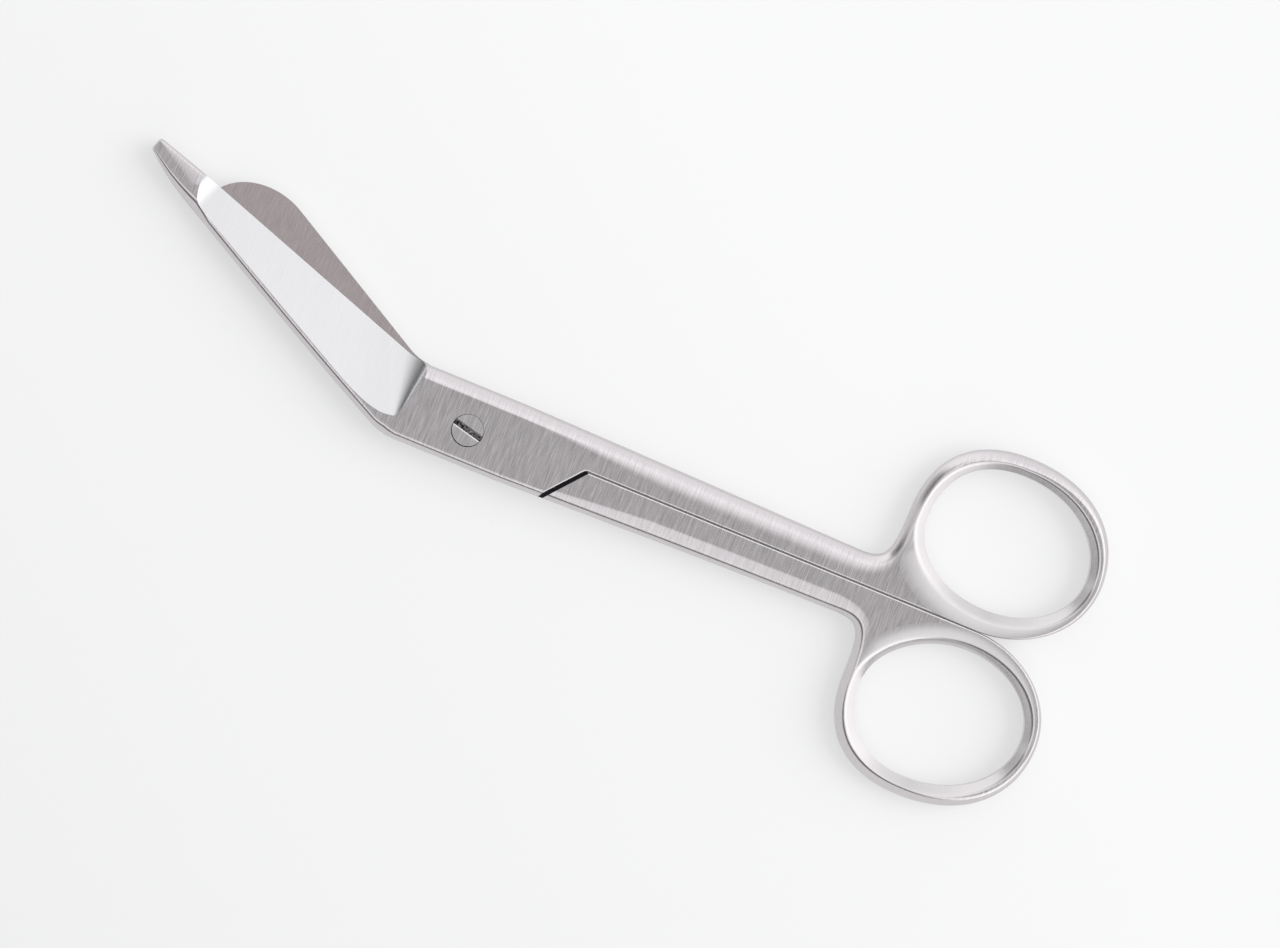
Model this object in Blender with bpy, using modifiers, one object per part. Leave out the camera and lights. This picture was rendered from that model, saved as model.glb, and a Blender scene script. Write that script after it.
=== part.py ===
"""Bandage scissors, 14 cm, of satin stainless steel.

Two forged halves cross in a half lap and turn on a slotted screw. The half on top carries the long
blade, which ends in a blunt probe that slides under a dressing. The half beneath carries the short
round-nosed blade. Both blades are set at an angle to the shanks.

X runs along the seam of the shanks towards the finger rings, +Y towards the ring of the probe half
and +Z up through the screw. The origin is on the pivot axis, at the underside. Units are metres.
"""
import math

import bmesh
import bpy
from mathutils import Vector
from mathutils.geometry import interpolate_bezier

MM = 0.001

# Lap joint
THICKNESS = 4.4 * MM        # both halves together, at the box
LAP_GAP = 0.3 * MM          # between the two lapped faces
SEAM_GAP = 0.3 * MM         # between the two shanks
SEAM_Y = 0.90 * MM          # seam of the shanks, off the pivot axis
BOX_UPPER = 6.18 * MM       # box edge on the probe half's side, from the pivot axis
BOX_LOWER = 4.84 * MM       # box edge on the other side
BOX_FLAT = 6.0 * MM         # where the box edges stop being parallel, towards the rings
NOTCH_X = 16.65 * MM        # where the end of each lapped plate meets the seam
NOTCH_ANGLE = math.radians(50)
NOTCH_GAP = 0.66 * MM       # open notch between a plate's end and the other half's shank
NOTCH_RADIUS = 0.55 * MM

# Shanks: outer edge, from the seam
PROBE_SHANK_MID = 4.74 * MM
PROBE_SHANK_END = 4.27 * MM
BLUNT_SHANK_MID = 4.93 * MM
BLUNT_SHANK_END = 4.70 * MM
SHANK_MID_X = 33.6 * MM
SHANK_END_X = 54.6 * MM

# Finger rings: extremes of the outline and of the hole, X along the seam, Y from the seam
RING_THICKNESS = 3.9 * MM
RING_NEAR_X = 59.0 * MM
RING_FAR_X = 86.65 * MM
RING_NEAR_Y = 12.0 * MM
RING_FAR_Y = 11.7 * MM
RING_TOP_X = 71.7 * MM
RING_TOP_Y = 24.3 * MM
RING_LEAVES_SEAM_X = 73.3 * MM
ARM_FAR = 2.1 * MM          # width of the ring's arm at its far end, away from the box
ARM_TOP = 2.45 * MM
ARM_NEAR = 1.85 * MM
ARM_SEAM = 2.8 * MM

# How square the quarters of a ring and of its hole are, 0.55 for an ellipse
RING_SQUARE_SEAM = 0.56
RING_SQUARE_FAR = 0.60
RING_SQUARE_NEAR = 0.64
HOLE_SQUARE_SEAM = 0.57
HOLE_SQUARE_FAR = 0.56
HOLE_SQUARE_NEAR = 0.62
NECK_SQUARE = 0.88          # of the hollow between the shank and the ring

# Where the blades' outlines leave the box edges
PROBE_EDGE_X = -9.9 * MM
BLUNT_SPINE_X = -9.6 * MM
LOWER_BEND_X = -10.5 * MM   # spine of the probe blade and edge of the blunt blade
PROBE_ROOT_RADIUS = 12.0 * MM
HEEL_RADIUS = 8.0 * MM      # of the other three bends

# Blunt blade
BLUNT_SPINE_ANGLE = math.radians(29.2)
BLUNT_LENGTH = 35.0 * MM    # along the spine, from the box to the end of the nose
BLUNT_NOSE_LENGTH = 9.2 * MM    # how far back along the spine the nose begins to round
BLUNT_NOSE_SQUARE = 0.53
BLUNT_EDGE_ANGLE = math.radians(31.6)
BLUNT_EDGE_RADIUS = 1.2 * MM    # from the nose into the cutting edge

# Probe blade
PROBE_EDGE_ANGLE = math.radians(18.9)
PROBE_SHOULDER = BLUNT_LENGTH + 1.3 * MM    # along the edge, where the probe begins
PROBE_LENGTH = PROBE_SHOULDER + 9.2 * MM    # to the end of the probe
PROBE_TIP_DROP = 0.2 * MM   # the probe's end lies this far inside the line of the edge
PROBE_SHOULDER_WIDTH = 4.8 * MM
PROBE_TIP_WIDTH = 1.9 * MM
PROBE_TIP_RADIUS = 0.5 * MM
PROBE_RIM_LENGTH = 3.0 * MM     # over which the probe's rims grow from the blade's
NOSE_CLEARANCE = 0.45 * MM  # between the blunt nose and the rise to the probe's full thickness
PROBE_RISE = 3.5 * MM       # length of that rise
SWING_END = math.radians(220)   # the blunt nose's way is clear up to here, past the spine

# Grinding of the blades
BLADE_BEND_X = -12.0 * MM   # from here to the tip the halves grow thinner
TIP_X = PROBE_EDGE_X - PROBE_LENGTH * math.cos(PROBE_EDGE_ANGLE)
TIP_SHARE = 0.70            # thickness left at the tip
EDGE_THICKNESS = 0.45 * MM
LAND = 0.35 * MM            # flat strip left between the spine's bevel and the ground face
GRIND_X = -10.6 * MM        # where the wheel stops short of the box
GRIND_Y = -2.4 * MM         # and where its mark on the probe blade begins
GRIND_BEND = 9.0 * MM       # length of spine along which that mark curves away from the box
WHEEL_RADIUS = 2.0 * MM     # concave step at the box
RUNOUT_RADIUS = 5.2 * MM    # concave rise to the probe
RUNOUT_ANGLE = math.radians(50)

# Bevels: width across and depth
RING_BEVEL = 1.1 * MM
RING_BEVEL_DEPTH = 1.35 * MM
PROBE_SHANK_BEVEL = 1.05 * MM
PROBE_BOX_BEVEL = 1.75 * MM
PROBE_BEVEL_DEPTH = 1.3 * MM
BLUNT_BEVEL = 0.7 * MM
BLUNT_BEVEL_DEPTH = 0.95 * MM
SPINE_BEVEL = 0.67 * MM
SPINE_BEVEL_DEPTH = 0.8 * MM
TOE_BEVEL = 1.35 * MM       # on the probe, at its shoulder
TOE_BEVEL_DEPTH = 1.0 * MM
TIP_BEVEL = 0.45 * MM
TIP_BEVEL_DEPTH = 0.6 * MM
HOLE_BEVEL = 0.9 * MM
HOLE_BEVEL_DEPTH = 1.2 * MM
CREST_ANGLE = math.radians(58)
ROLL_WIDTH = 2.0 * MM       # soft roll inside the bevels of the shanks and the rings
ROLL_SLOPE = 0.085

# Pivot screw
HEAD_RADIUS = 2.25 * MM
HEAD_HEIGHT = 1.0 * MM
STEM_RADIUS = 1.5 * MM
SCREW_GAP = 0.15 * MM       # round the head and the stem, and under the head
SLOT_WIDTH = 0.8 * MM
SLOT_DEPTH = 0.6 * MM
SLOT_ANGLE = math.radians(-13.6)

# Fineness of the round forms
BEVEL_STEPS = 4
ROLL_STEPS = 2
QUARTER_STEPS = 14
NECK_STEPS = 12
BEND_STEPS = 4
BLADE_STEPS = 6
ROUND_STEPS = 48
PAST = 2.0 * MM             # how far a cutter reaches past what it cuts

LAP_Z = THICKNESS / 2

# Rims, each (width across, depth, width of the soft roll inside it)
SHARP = Vector((0, 0, 0))
RING_RIM = Vector((RING_BEVEL, RING_BEVEL_DEPTH, ROLL_WIDTH))
PROBE_SHANK_RIM = Vector((PROBE_SHANK_BEVEL, PROBE_BEVEL_DEPTH, ROLL_WIDTH))
PROBE_BOX_RIM = Vector((PROBE_BOX_BEVEL, PROBE_BEVEL_DEPTH, 0))
BLUNT_SHANK_RIM = Vector((BLUNT_BEVEL, BLUNT_BEVEL_DEPTH, ROLL_WIDTH))
BLUNT_BOX_RIM = Vector((BLUNT_BEVEL, BLUNT_BEVEL_DEPTH, 0))
SPINE_RIM = Vector((SPINE_BEVEL, SPINE_BEVEL_DEPTH, 0))
TOE_RIM = Vector((TOE_BEVEL, TOE_BEVEL_DEPTH, 0))
TIP_RIM = Vector((TIP_BEVEL, TIP_BEVEL_DEPTH, 0))
HOLE_RIM = Vector((HOLE_BEVEL, HOLE_BEVEL_DEPTH, 0))


def collection(name):
    """A new collection in the scene."""
    group = bpy.data.collections.new(name)
    bpy.context.scene.collection.children.link(group)
    return group


def material(name, colour, roughness):
    """Satin steel in the given tone."""
    steel = bpy.data.materials.new(name)
    steel.use_nodes = True
    shader = steel.node_tree.nodes["Principled BSDF"]
    shader.inputs["Base Color"].default_value = (*colour, 1)
    shader.inputs["Metallic"].default_value = 1
    shader.inputs["Roughness"].default_value = roughness
    return steel


def add_object(name, shape, group):
    """An object of the bmesh, in the collection, with its normals pointing out."""
    bmesh.ops.remove_doubles(shape, verts=shape.verts, dist=0.0005 * MM)
    bmesh.ops.recalc_face_normals(shape, faces=shape.faces)
    mesh = bpy.data.meshes.new(name)
    shape.to_mesh(mesh)
    shape.free()
    thing = bpy.data.objects.new(name, mesh)
    group.objects.link(thing)
    return thing


def subtract(thing, cutter):
    """Cut the cutter out of the thing."""
    cutter.hide_render = True
    cutter.display_type = "WIRE"
    cut = thing.modifiers.new(cutter.name, "BOOLEAN")
    cut.operation = "DIFFERENCE"
    cut.solver = "EXACT"
    cut.object = cutter


# Outlines

def curve(start, start_handle, end_handle, end, steps):
    """Points of a cubic curve between two points with two handles."""
    return [Vector(point[:2]) for point in
            interpolate_bezier(start, start_handle, end_handle, end, steps + 1)]


def quarter(start, corner, end, fullness, steps):
    """Quarter of an oval from start to end, which would meet at the corner if it were square."""
    return curve(start, start.lerp(corner, fullness), end.lerp(corner, fullness), end, steps)


def fillet(before, corner, after, radius, steps):
    """Arc of the radius that rounds the corner between two straight edges."""
    back = (before - corner).normalized()
    ahead = (after - corner).normalized()
    half = back.angle(ahead) / 2
    reach = radius / math.tan(half)
    handle = reach - radius * 4 / 3 * math.tan((math.pi / 2 - half) / 2)
    return curve(corner + back * reach, corner + back * handle,
                 corner + ahead * handle, corner + ahead * reach, steps)


def heading(angle):
    """Unit vector that points from the box towards the tips, raised by the angle."""
    return Vector((-math.cos(angle), math.sin(angle)))


def left_of(way):
    """Unit vector square to a direction, on its left."""
    return Vector((-way.y, way.x)).normalized()


def meet(point, along, other, other_along):
    """Where two lines cross, each given by a point and a direction."""
    across = left_of(other_along)
    return point + along * ((other - point).dot(across) / along.dot(across))


def run(points, rim, end_rim=None):
    """A stretch of an outline, with the rim at its two ends."""
    return points, rim, rim if end_rim is None else end_rim


def mirrored(runs):
    """The runs on the other side of the seam, still counter-clockwise."""
    flipped = []
    for points, rim, end_rim in reversed(runs):
        crossed = [Vector((point.x, 2 * SEAM_Y - point.y)) for point in reversed(points)]
        flipped.append((crossed, end_rim, rim))
    return flipped


def from_seam(x, distance):
    """A point at a distance from the seam, on the probe half's side."""
    return Vector((x, SEAM_Y + distance))


def ring_outline():
    """Three quarters of the finger ring's outline, from the seam and counter-clockwise."""
    seam = from_seam(RING_LEAVES_SEAM_X, SEAM_GAP / 2)
    far = from_seam(RING_FAR_X, RING_FAR_Y)
    top = from_seam(RING_TOP_X, RING_TOP_Y)
    near = from_seam(RING_NEAR_X, RING_NEAR_Y)
    return (quarter(seam, Vector((far.x, seam.y)), far, RING_SQUARE_SEAM, QUARTER_STEPS),
            quarter(far, Vector((far.x, top.y)), top, RING_SQUARE_FAR, QUARTER_STEPS),
            quarter(top, Vector((near.x, top.y)), near, RING_SQUARE_NEAR, QUARTER_STEPS))


def ring_hole():
    """Outline of the finger hole, counter-clockwise."""
    far = from_seam(RING_FAR_X - ARM_FAR, RING_FAR_Y)
    top = from_seam(RING_TOP_X, RING_TOP_Y - ARM_TOP)
    near = from_seam(RING_NEAR_X + ARM_NEAR, RING_NEAR_Y)
    seam = from_seam(RING_LEAVES_SEAM_X, SEAM_GAP / 2 + ARM_SEAM)
    points = []
    for start, corner, end, square in (
            (far, Vector((far.x, top.y)), top, HOLE_SQUARE_FAR),
            (top, Vector((near.x, top.y)), near, HOLE_SQUARE_NEAR),
            (near, Vector((near.x, seam.y)), seam, HOLE_SQUARE_SEAM),
            (seam, Vector((far.x, seam.y)), far, HOLE_SQUARE_SEAM)):
        points += quarter(start, corner, end, square, QUARTER_STEPS)[:-1]
    return points


def handle_runs(box_edge, shank_mid, shank_end, box_rim, shank_rim):
    """Seam, ring and outer edge of the shank, for the half on the probe side of the seam."""
    to_far, to_top, to_near = ring_outline()
    seam_start = from_seam(NOTCH_X + NOTCH_RADIUS, SEAM_GAP / 2)
    near = to_near[-1]
    end = from_seam(SHANK_END_X, shank_end)
    mid = from_seam(SHANK_MID_X, shank_mid)
    box = from_seam(BOX_FLAT, box_edge)
    neck = quarter(near, Vector((near.x, end.y)), end, NECK_SQUARE, NECK_STEPS)
    shank = curve(end, end.lerp(mid, 0.5), mid.lerp(box, 0.1), box, 2 * BEND_STEPS)
    return [run([seam_start, to_far[0]], SHARP),
            run(to_far, SHARP, RING_RIM),
            run(to_top, RING_RIM),
            run(to_near, RING_RIM),
            run(neck, RING_RIM, shank_rim),
            run(shank, shank_rim, box_rim)]


def notch_runs(box_edge, shank_mid, rim):
    """Box edge on the far side of the seam, and the end of the lapped plate up to the seam."""
    slope = Vector((math.cos(NOTCH_ANGLE), math.sin(NOTCH_ANGLE)))
    corner = from_seam(NOTCH_X, SEAM_GAP / 2)
    box = from_seam(BOX_FLAT, -box_edge)
    foot = meet(corner, slope, box, from_seam(SHANK_MID_X, -shank_mid) - box)
    inner = fillet(foot, corner, corner + Vector((PAST, 0)), NOTCH_RADIUS, BEND_STEPS)
    return [run([box, foot], rim), run([foot, inner[0]], SHARP), run(inner, SHARP)]


def probe_corners():
    """Corners of the probe blade: root, shoulder and tip of its edge, then those of its spine."""
    way = heading(PROBE_EDGE_ANGLE)
    inward = left_of(way)
    root = Vector((PROBE_EDGE_X, BOX_UPPER))
    shoulder = root + way * PROBE_SHOULDER
    tip = root + way * PROBE_LENGTH + inward * PROBE_TIP_DROP
    return (root, shoulder, tip,
            Vector((LOWER_BEND_X, -BOX_LOWER)),
            shoulder + inward * PROBE_SHOULDER_WIDTH,
            tip + inward * PROBE_TIP_WIDTH)


def probe_outline():
    """Outline of the probe half, counter-clockwise from the seam."""
    upper, lower = BOX_UPPER - SEAM_Y, BOX_LOWER + SEAM_Y
    edge_root, shoulder, tip, spine_root, spine_shoulder, spine_tip = probe_corners()
    edge_way = heading(PROBE_EDGE_ANGLE)
    spine_way = (spine_shoulder - spine_root).normalized()
    probe_bend = spine_shoulder + spine_way * (PROBE_LENGTH - PROBE_SHOULDER) / 2

    root = fillet(Vector((0, BOX_UPPER)), edge_root, shoulder, PROBE_ROOT_RADIUS, BEND_STEPS)
    ground = root[-1] + edge_way * PROBE_BOX_RIM[0]
    tip_round = fillet(shoulder, tip, spine_tip, PROBE_TIP_RADIUS, BEND_STEPS)
    spine_round = fillet(tip, spine_tip, probe_bend, PROBE_TIP_RADIUS, BEND_STEPS)
    probe_spine = curve(spine_round[-1], spine_round[-1].lerp(probe_bend, 0.5),
                        probe_bend, spine_shoulder, BLADE_STEPS)
    heel = fillet(spine_shoulder, spine_root, Vector((0, -BOX_LOWER)), HEEL_RADIUS, BEND_STEPS)
    probe_start = shoulder + edge_way * PROBE_RIM_LENGTH
    blade_start = spine_shoulder - spine_way * PROBE_RIM_LENGTH
    notch = notch_runs(lower, BLUNT_SHANK_MID, SPINE_RIM)

    return (handle_runs(upper, PROBE_SHANK_MID, PROBE_SHANK_END, PROBE_BOX_RIM, PROBE_SHANK_RIM)
            + [run([Vector((BOX_FLAT, BOX_UPPER)), root[0]], PROBE_BOX_RIM),
               run(root, PROBE_BOX_RIM),
               run([root[-1], ground], PROBE_BOX_RIM, SHARP),
               run([ground, shoulder], SHARP),
               run([shoulder, probe_start], SHARP, TOE_RIM),
               run([probe_start, tip_round[0]], TOE_RIM, TIP_RIM),
               run(tip_round, TIP_RIM),
               run([tip_round[-1], spine_round[0]], TIP_RIM),
               run(spine_round, TIP_RIM),
               run(probe_spine, TIP_RIM, TOE_RIM),
               run([spine_shoulder, blade_start], TOE_RIM, SPINE_RIM),
               run([blade_start, heel[0]], SPINE_RIM),
               run(heel, SPINE_RIM),
               run([heel[-1], notch[0][0][0]], SPINE_RIM)]
            + notch)


def blunt_corners():
    """Corners of the blunt blade: root and nose of its spine, middle of the nose, nose and root
    of its edge."""
    spine_way = heading(BLUNT_SPINE_ANGLE)
    inward = left_of(spine_way)
    spine_root = Vector((BLUNT_SPINE_X, BOX_UPPER))
    spine_nose = spine_root + spine_way * BLUNT_LENGTH
    edge_root = Vector((LOWER_BEND_X, -BOX_LOWER))
    edge_nose = meet(spine_nose, inward, edge_root, heading(BLUNT_EDGE_ANGLE))
    return spine_root, spine_nose, edge_nose - inward * BLUNT_EDGE_RADIUS, edge_nose, edge_root


def blunt_outline():
    """Outline of the blunt half, counter-clockwise from the box."""
    upper, lower = BOX_UPPER - SEAM_Y, BOX_LOWER + SEAM_Y
    spine_root, spine_nose, nose, edge_nose, edge_root = blunt_corners()
    nose_start = spine_nose - heading(BLUNT_SPINE_ANGLE) * BLUNT_NOSE_LENGTH

    heel = fillet(Vector((0, BOX_UPPER)), spine_root, spine_nose, HEEL_RADIUS, BEND_STEPS)
    nose_round = quarter(nose_start, spine_nose, nose, BLUNT_NOSE_SQUARE, 2 * BEND_STEPS)
    edge_round = fillet(nose, edge_nose, edge_root, BLUNT_EDGE_RADIUS, BEND_STEPS)
    root = fillet(edge_nose, edge_root, Vector((0, -BOX_LOWER)), HEEL_RADIUS, BEND_STEPS)
    handle = (notch_runs(upper, PROBE_SHANK_MID, PROBE_BOX_RIM)
              + handle_runs(lower, BLUNT_SHANK_MID, BLUNT_SHANK_END, BLUNT_BOX_RIM,
                            BLUNT_SHANK_RIM))

    return (mirrored(handle)
            + [run([Vector((BOX_FLAT, BOX_UPPER)), heel[0]], PROBE_BOX_RIM),
               run(heel, PROBE_BOX_RIM, SPINE_RIM),
               run([heel[-1], nose_start], SPINE_RIM),
               run(nose_round, SPINE_RIM),
               run([nose, edge_round[0]], SPINE_RIM, SHARP),
               run(edge_round, SHARP),
               run([edge_round[-1], root[0]], SHARP),
               run(root, SHARP, BLUNT_BOX_RIM),
               run([root[-1], Vector((BOX_FLAT, -BOX_LOWER))], BLUNT_BOX_RIM)])


# Solids with a rim

def rim_section(rim, crest, roll_steps=ROLL_STEPS):
    """Pairs of distance inside the outline and depth below the face, from the wall inwards."""
    width, depth, roll = rim
    drop = roll * ROLL_SLOPE
    pairs = []
    for step in range(BEVEL_STEPS + 1):
        turn = crest * step / BEVEL_STEPS
        pairs.append((width * (1 - math.cos(turn)) / (1 - math.cos(crest)),
                      drop + depth * (1 - math.sin(turn) / math.sin(crest))))
    for step in range(1, roll_steps + 1):
        share = step / roll_steps
        pairs.append((width + roll * share, drop * (1 - share) ** 2))
    return pairs


def joined(runs):
    """Every point of the runs once, with the rims before and after it."""
    stops = []
    for points, rim, end_rim in runs:
        lengths = [0.0]
        for point, following in zip(points, points[1:]):
            lengths.append(lengths[-1] + (following - point).length)
        for point, length in zip(points, lengths):
            here = rim.lerp(end_rim, length / lengths[-1])
            if stops and (stops[-1][0] - point).length < 0.01 * MM:
                stops[-1][2] = here
            else:
                stops.append([point, here, here])
    if (stops[0][0] - stops[-1][0]).length < 0.01 * MM:
        stops[0][1] = stops.pop()[1]
    return stops


def inset(before, point, after, rim_before, rim_after):
    """The point moved inside an outline by its distance from each of its two edges."""
    way_in = (point - before).normalized()
    way_out = (after - point).normalized()
    normal_in = Vector((-way_in.y, way_in.x))
    normal_out = Vector((-way_out.y, way_out.x))
    turn = way_in.x * way_out.y - way_in.y * way_out.x
    if abs(turn) > 0.5:
        across = (rim_after - rim_before * normal_in.dot(normal_out)) / turn
        return point + normal_in * rim_before - way_in * across
    bisector = (normal_in + normal_out).normalized()
    return point + bisector * ((rim_before + rim_after) / 2 / bisector.dot(normal_in))


def rim_shape(runs, low, high, crest=CREST_ANGLE, outward=False):
    """Bmesh of an outline between two heights, with its rims rounded at both faces."""
    stops = joined(runs)
    columns = []
    for index, (point, rim_in, rim_out) in enumerate(stops):
        before = stops[index - 1][0]
        after = stops[(index + 1) % len(stops)][0]
        deeper = rim_in if rim_in.length > rim_out.length else rim_out
        column = []
        for pair_in, pair_out, (_, depth) in zip(rim_section(rim_in, crest),
                                                 rim_section(rim_out, crest),
                                                 rim_section(deeper, crest)):
            sign = -1 if outward else 1
            place = inset(before, point, after, sign * pair_in[0], sign * pair_out[0])
            column.append((place, depth))
        columns.append(column)

    shape = bmesh.new()
    rings = []
    for row in reversed(range(len(columns[0]))):
        rings.append([shape.verts.new((*column[row][0], low + column[row][1]))
                      for column in columns])
    for row in range(len(columns[0])):
        rings.append([shape.verts.new((*column[row][0], high - column[row][1]))
                      for column in columns])
    for ring, above in zip(rings, rings[1:]):
        for index in range(len(ring)):
            following = (index + 1) % len(ring)
            shape.faces.new((ring[index], ring[following], above[following], above[index]))
    shape.faces.new(list(reversed(rings[0])))
    shape.faces.new(rings[-1])
    bmesh.ops.remove_doubles(shape, verts=shape.verts, dist=0.0005 * MM)
    return shape


def share_at(x):
    """Share of the full thickness that a half has at a place along it."""
    if x < BLADE_BEND_X:
        return 1 - (1 - TIP_SHARE) * (BLADE_BEND_X - x) / (BLADE_BEND_X - TIP_X)
    if x > NOTCH_X:
        way = min(1, (x - NOTCH_X) / (SHANK_END_X - NOTCH_X))
        return 1 - (1 - RING_THICKNESS / THICKNESS) * way
    return 1


def taper(shape):
    """Thin the blades towards the lap, and the shanks towards the rings down to the underside."""
    for x in (BLADE_BEND_X, NOTCH_X, SHANK_END_X):
        bmesh.ops.bisect_plane(shape, geom=shape.verts[:] + shape.edges[:] + shape.faces[:],
                               plane_co=(x, 0, 0), plane_no=(1, 0, 0), dist=0.0001 * MM)
    for vert in shape.verts:
        level = LAP_Z if vert.co.x < 0 else 0
        vert.co.z = level + (vert.co.z - level) * share_at(vert.co.x)


# Cutters

def plate(name, points, low, high, group):
    """Flat plate of an outline."""
    return add_object(name, rim_shape([run(points + points[:1], SHARP)], low, high), group)


def lap_edge(side):
    """Two points on the edge where a half becomes full thickness, from the seam outwards."""
    start = NOTCH_X + NOTCH_GAP / math.sin(NOTCH_ANGLE)
    reach = 4 * BOX_UPPER
    outer = Vector((start - reach / math.tan(NOTCH_ANGLE), SEAM_Y + side * reach))
    return Vector((start, SEAM_Y)), outer


def probe_lap_cutter(group):
    """Takes the underside off the probe half's plate and blade, as far as the probe."""
    seam, outer = lap_edge(1)
    first = math.atan2(outer.y, outer.x)
    nose = max(point.length for points, _, _ in blunt_outline() for point in points if point.x < 0)
    reach = nose + NOSE_CLEARANCE + PROBE_RISE
    swing = []
    for step in range(2 * QUARTER_STEPS + 1):
        angle = first + (SWING_END - first) * step / (2 * QUARTER_STEPS)
        swing.append(Vector((math.cos(angle), math.sin(angle))) * reach)
    low_edge = -BOX_LOWER - PAST
    back = swing[-1] * (low_edge / swing[-1].y)
    runs = [run([back, Vector((seam.x, low_edge)), seam, outer, swing[0]], SHARP),
            run(swing, Vector((PROBE_RISE, LAP_Z, 0))),
            run([swing[-1], back], SHARP)]
    shape = rim_shape(runs, -THICKNESS, LAP_Z + LAP_GAP / 2, crest=math.pi / 2)
    return add_object("cut_probe_lap", shape, group)


def blunt_lap_cutter(group):
    """Takes the top off the blunt half's plate and blade."""
    seam, outer = lap_edge(-1)
    far = TIP_X - PAST
    points = [seam, Vector((seam.x, -far)), Vector((far, -far)), Vector((far, outer.y)), outer]
    return plate("cut_blunt_lap", points, LAP_Z - LAP_GAP / 2, THICKNESS + PAST, group)


def hole_cutter(name, outline, group):
    """Finger hole whose mouths open out into the ring's inner bevel."""
    shape = rim_shape([run(outline + outline[:1], HOLE_RIM)], 0, RING_THICKNESS, outward=True)
    caps = sorted(shape.faces, key=lambda face: len(face.verts))[-2:]
    for cap in caps:
        lift = PAST if cap.calc_center_median().z > LAP_Z else -PAST
        grown = bmesh.ops.extrude_face_region(shape, geom=[cap])["geom"]
        for vert in (item for item in grown if isinstance(item, bmesh.types.BMVert)):
            vert.co.z += lift
        shape.faces.remove(cap)
    return add_object(name, shape, group)


def spread(start, end, steps):
    """Points at equal distances on a straight line."""
    return [start.lerp(end, step / steps) for step in range(steps + 1)]


def grinding_cutter(name, spine_rail, edge_rail, away, side, runs_out, group):
    """Body swept by a grinding wheel along two rails, above a blade or, for side -1, below it.

    The first rail points lie at the box, where the wheel leaves a concave step. If it runs out
    it leaves the blade again in a longer concave rise in the direction away.
    """
    rows = [(spine, edge, 0.0) for spine, edge in zip(spine_rail, edge_rail)]
    steps = 2 * BEVEL_STEPS
    start, finish = rows[0], rows[-1]
    step_rows = []
    for index in range(1, steps + 1):
        turn = math.pi / 2 * index / steps
        shift = Vector((WHEEL_RADIUS * math.sin(turn), 0, 0))
        step_rows.insert(0, (start[0] + shift, start[1] + shift,
                             WHEEL_RADIUS * (1 - math.cos(turn))))
    if runs_out:
        for index in range(1, steps + 1):
            turn = RUNOUT_ANGLE * index / steps
            shift = away.to_3d() * RUNOUT_RADIUS * math.sin(turn)
            rows.append((finish[0] + shift, finish[1] + shift,
                         RUNOUT_RADIUS * (1 - math.cos(turn))))

    shape = bmesh.new()
    grid = []
    for spine, edge, lift in step_rows + rows:
        across = edge - spine
        line = [spine - across, spine, edge, edge + across * 0.5]
        grid.append([shape.verts.new(point + Vector((0, 0, side * lift))) for point in line])
    for near, far in zip(grid, grid[1:]):
        for index in range(len(near) - 1):
            shape.faces.new((near[index], near[index + 1], far[index + 1], far[index]))
    grown = bmesh.ops.extrude_face_region(shape, geom=shape.faces[:])["geom"]
    for vert in (item for item in grown if isinstance(item, bmesh.types.BMVert)):
        vert.co.z = LAP_Z + side * (THICKNESS + PAST)
    return add_object(name, shape, group)


def ground_rails(spine_points, edge_root, edge_way, first_across, last_across, side):
    """Rails on the spine's and the edge's side of a ground face, with their heights.

    The lines that join them turn evenly from one direction across the blade to the other. The
    face leaves the outer face at the spine and meets the edge's thickness at the cutting edge.
    """
    thick = LAP_GAP / 2 + EDGE_THICKNESS
    spine, edge = [], []
    for index, point in enumerate(spine_points):
        across = first_across.lerp(last_across, index / (len(spine_points) - 1))
        opposite = meet(point, across, edge_root, edge_way)
        spine.append(Vector((*point, LAP_Z + side * LAP_Z * share_at(point.x))))
        edge.append(Vector((*opposite, LAP_Z + side * thick * share_at(opposite.x))))
    return spine, edge


def probe_grinding_cutter(group):
    """Ground outer face of the probe blade."""
    edge_root, shoulder, _, spine_root, spine_shoulder, _ = probe_corners()
    edge_way = heading(PROBE_EDGE_ANGLE)
    spine_way = (spine_shoulder - spine_root).normalized()
    strip = -left_of(spine_way) * (SPINE_RIM[0] + LAND)
    start = Vector((GRIND_X, GRIND_Y))
    bend = spine_root + spine_way * GRIND_BEND + strip
    turn = meet(start, Vector((1, 0)), bend, spine_way)
    boundary = (curve(start, start.lerp(turn, 0.5), bend.lerp(turn, 0.5), bend, BLADE_STEPS)
                + spread(bend, spine_shoulder + strip, BLADE_STEPS)[1:])
    across = (shoulder - spine_shoulder).normalized()
    spine_rail, edge_rail = ground_rails(boundary, edge_root, edge_way, Vector((0, 1)), across, 1)
    return grinding_cutter("cut_probe_grind", spine_rail, edge_rail, edge_way, 1, True, group)


def blunt_grinding_cutter(group):
    """Ground outer face of the blunt blade, on the underside."""
    spine_root, spine_nose, _, _, edge_root = blunt_corners()
    spine_way = heading(BLUNT_SPINE_ANGLE)
    inward = left_of(spine_way)
    strip = inward * (SPINE_RIM[0] + LAND)
    start = meet(spine_root + strip, spine_way, Vector((GRIND_X, 0)), Vector((0, 1)))
    boundary = spread(start, spine_nose + strip + spine_way * PAST, BLADE_STEPS)
    spine_rail, edge_rail = ground_rails(boundary, edge_root, heading(BLUNT_EDGE_ANGLE),
                                         Vector((0, -1)), inward, -1)
    return grinding_cutter("cut_blunt_grind", spine_rail, edge_rail, spine_way, -1, False, group)


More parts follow.
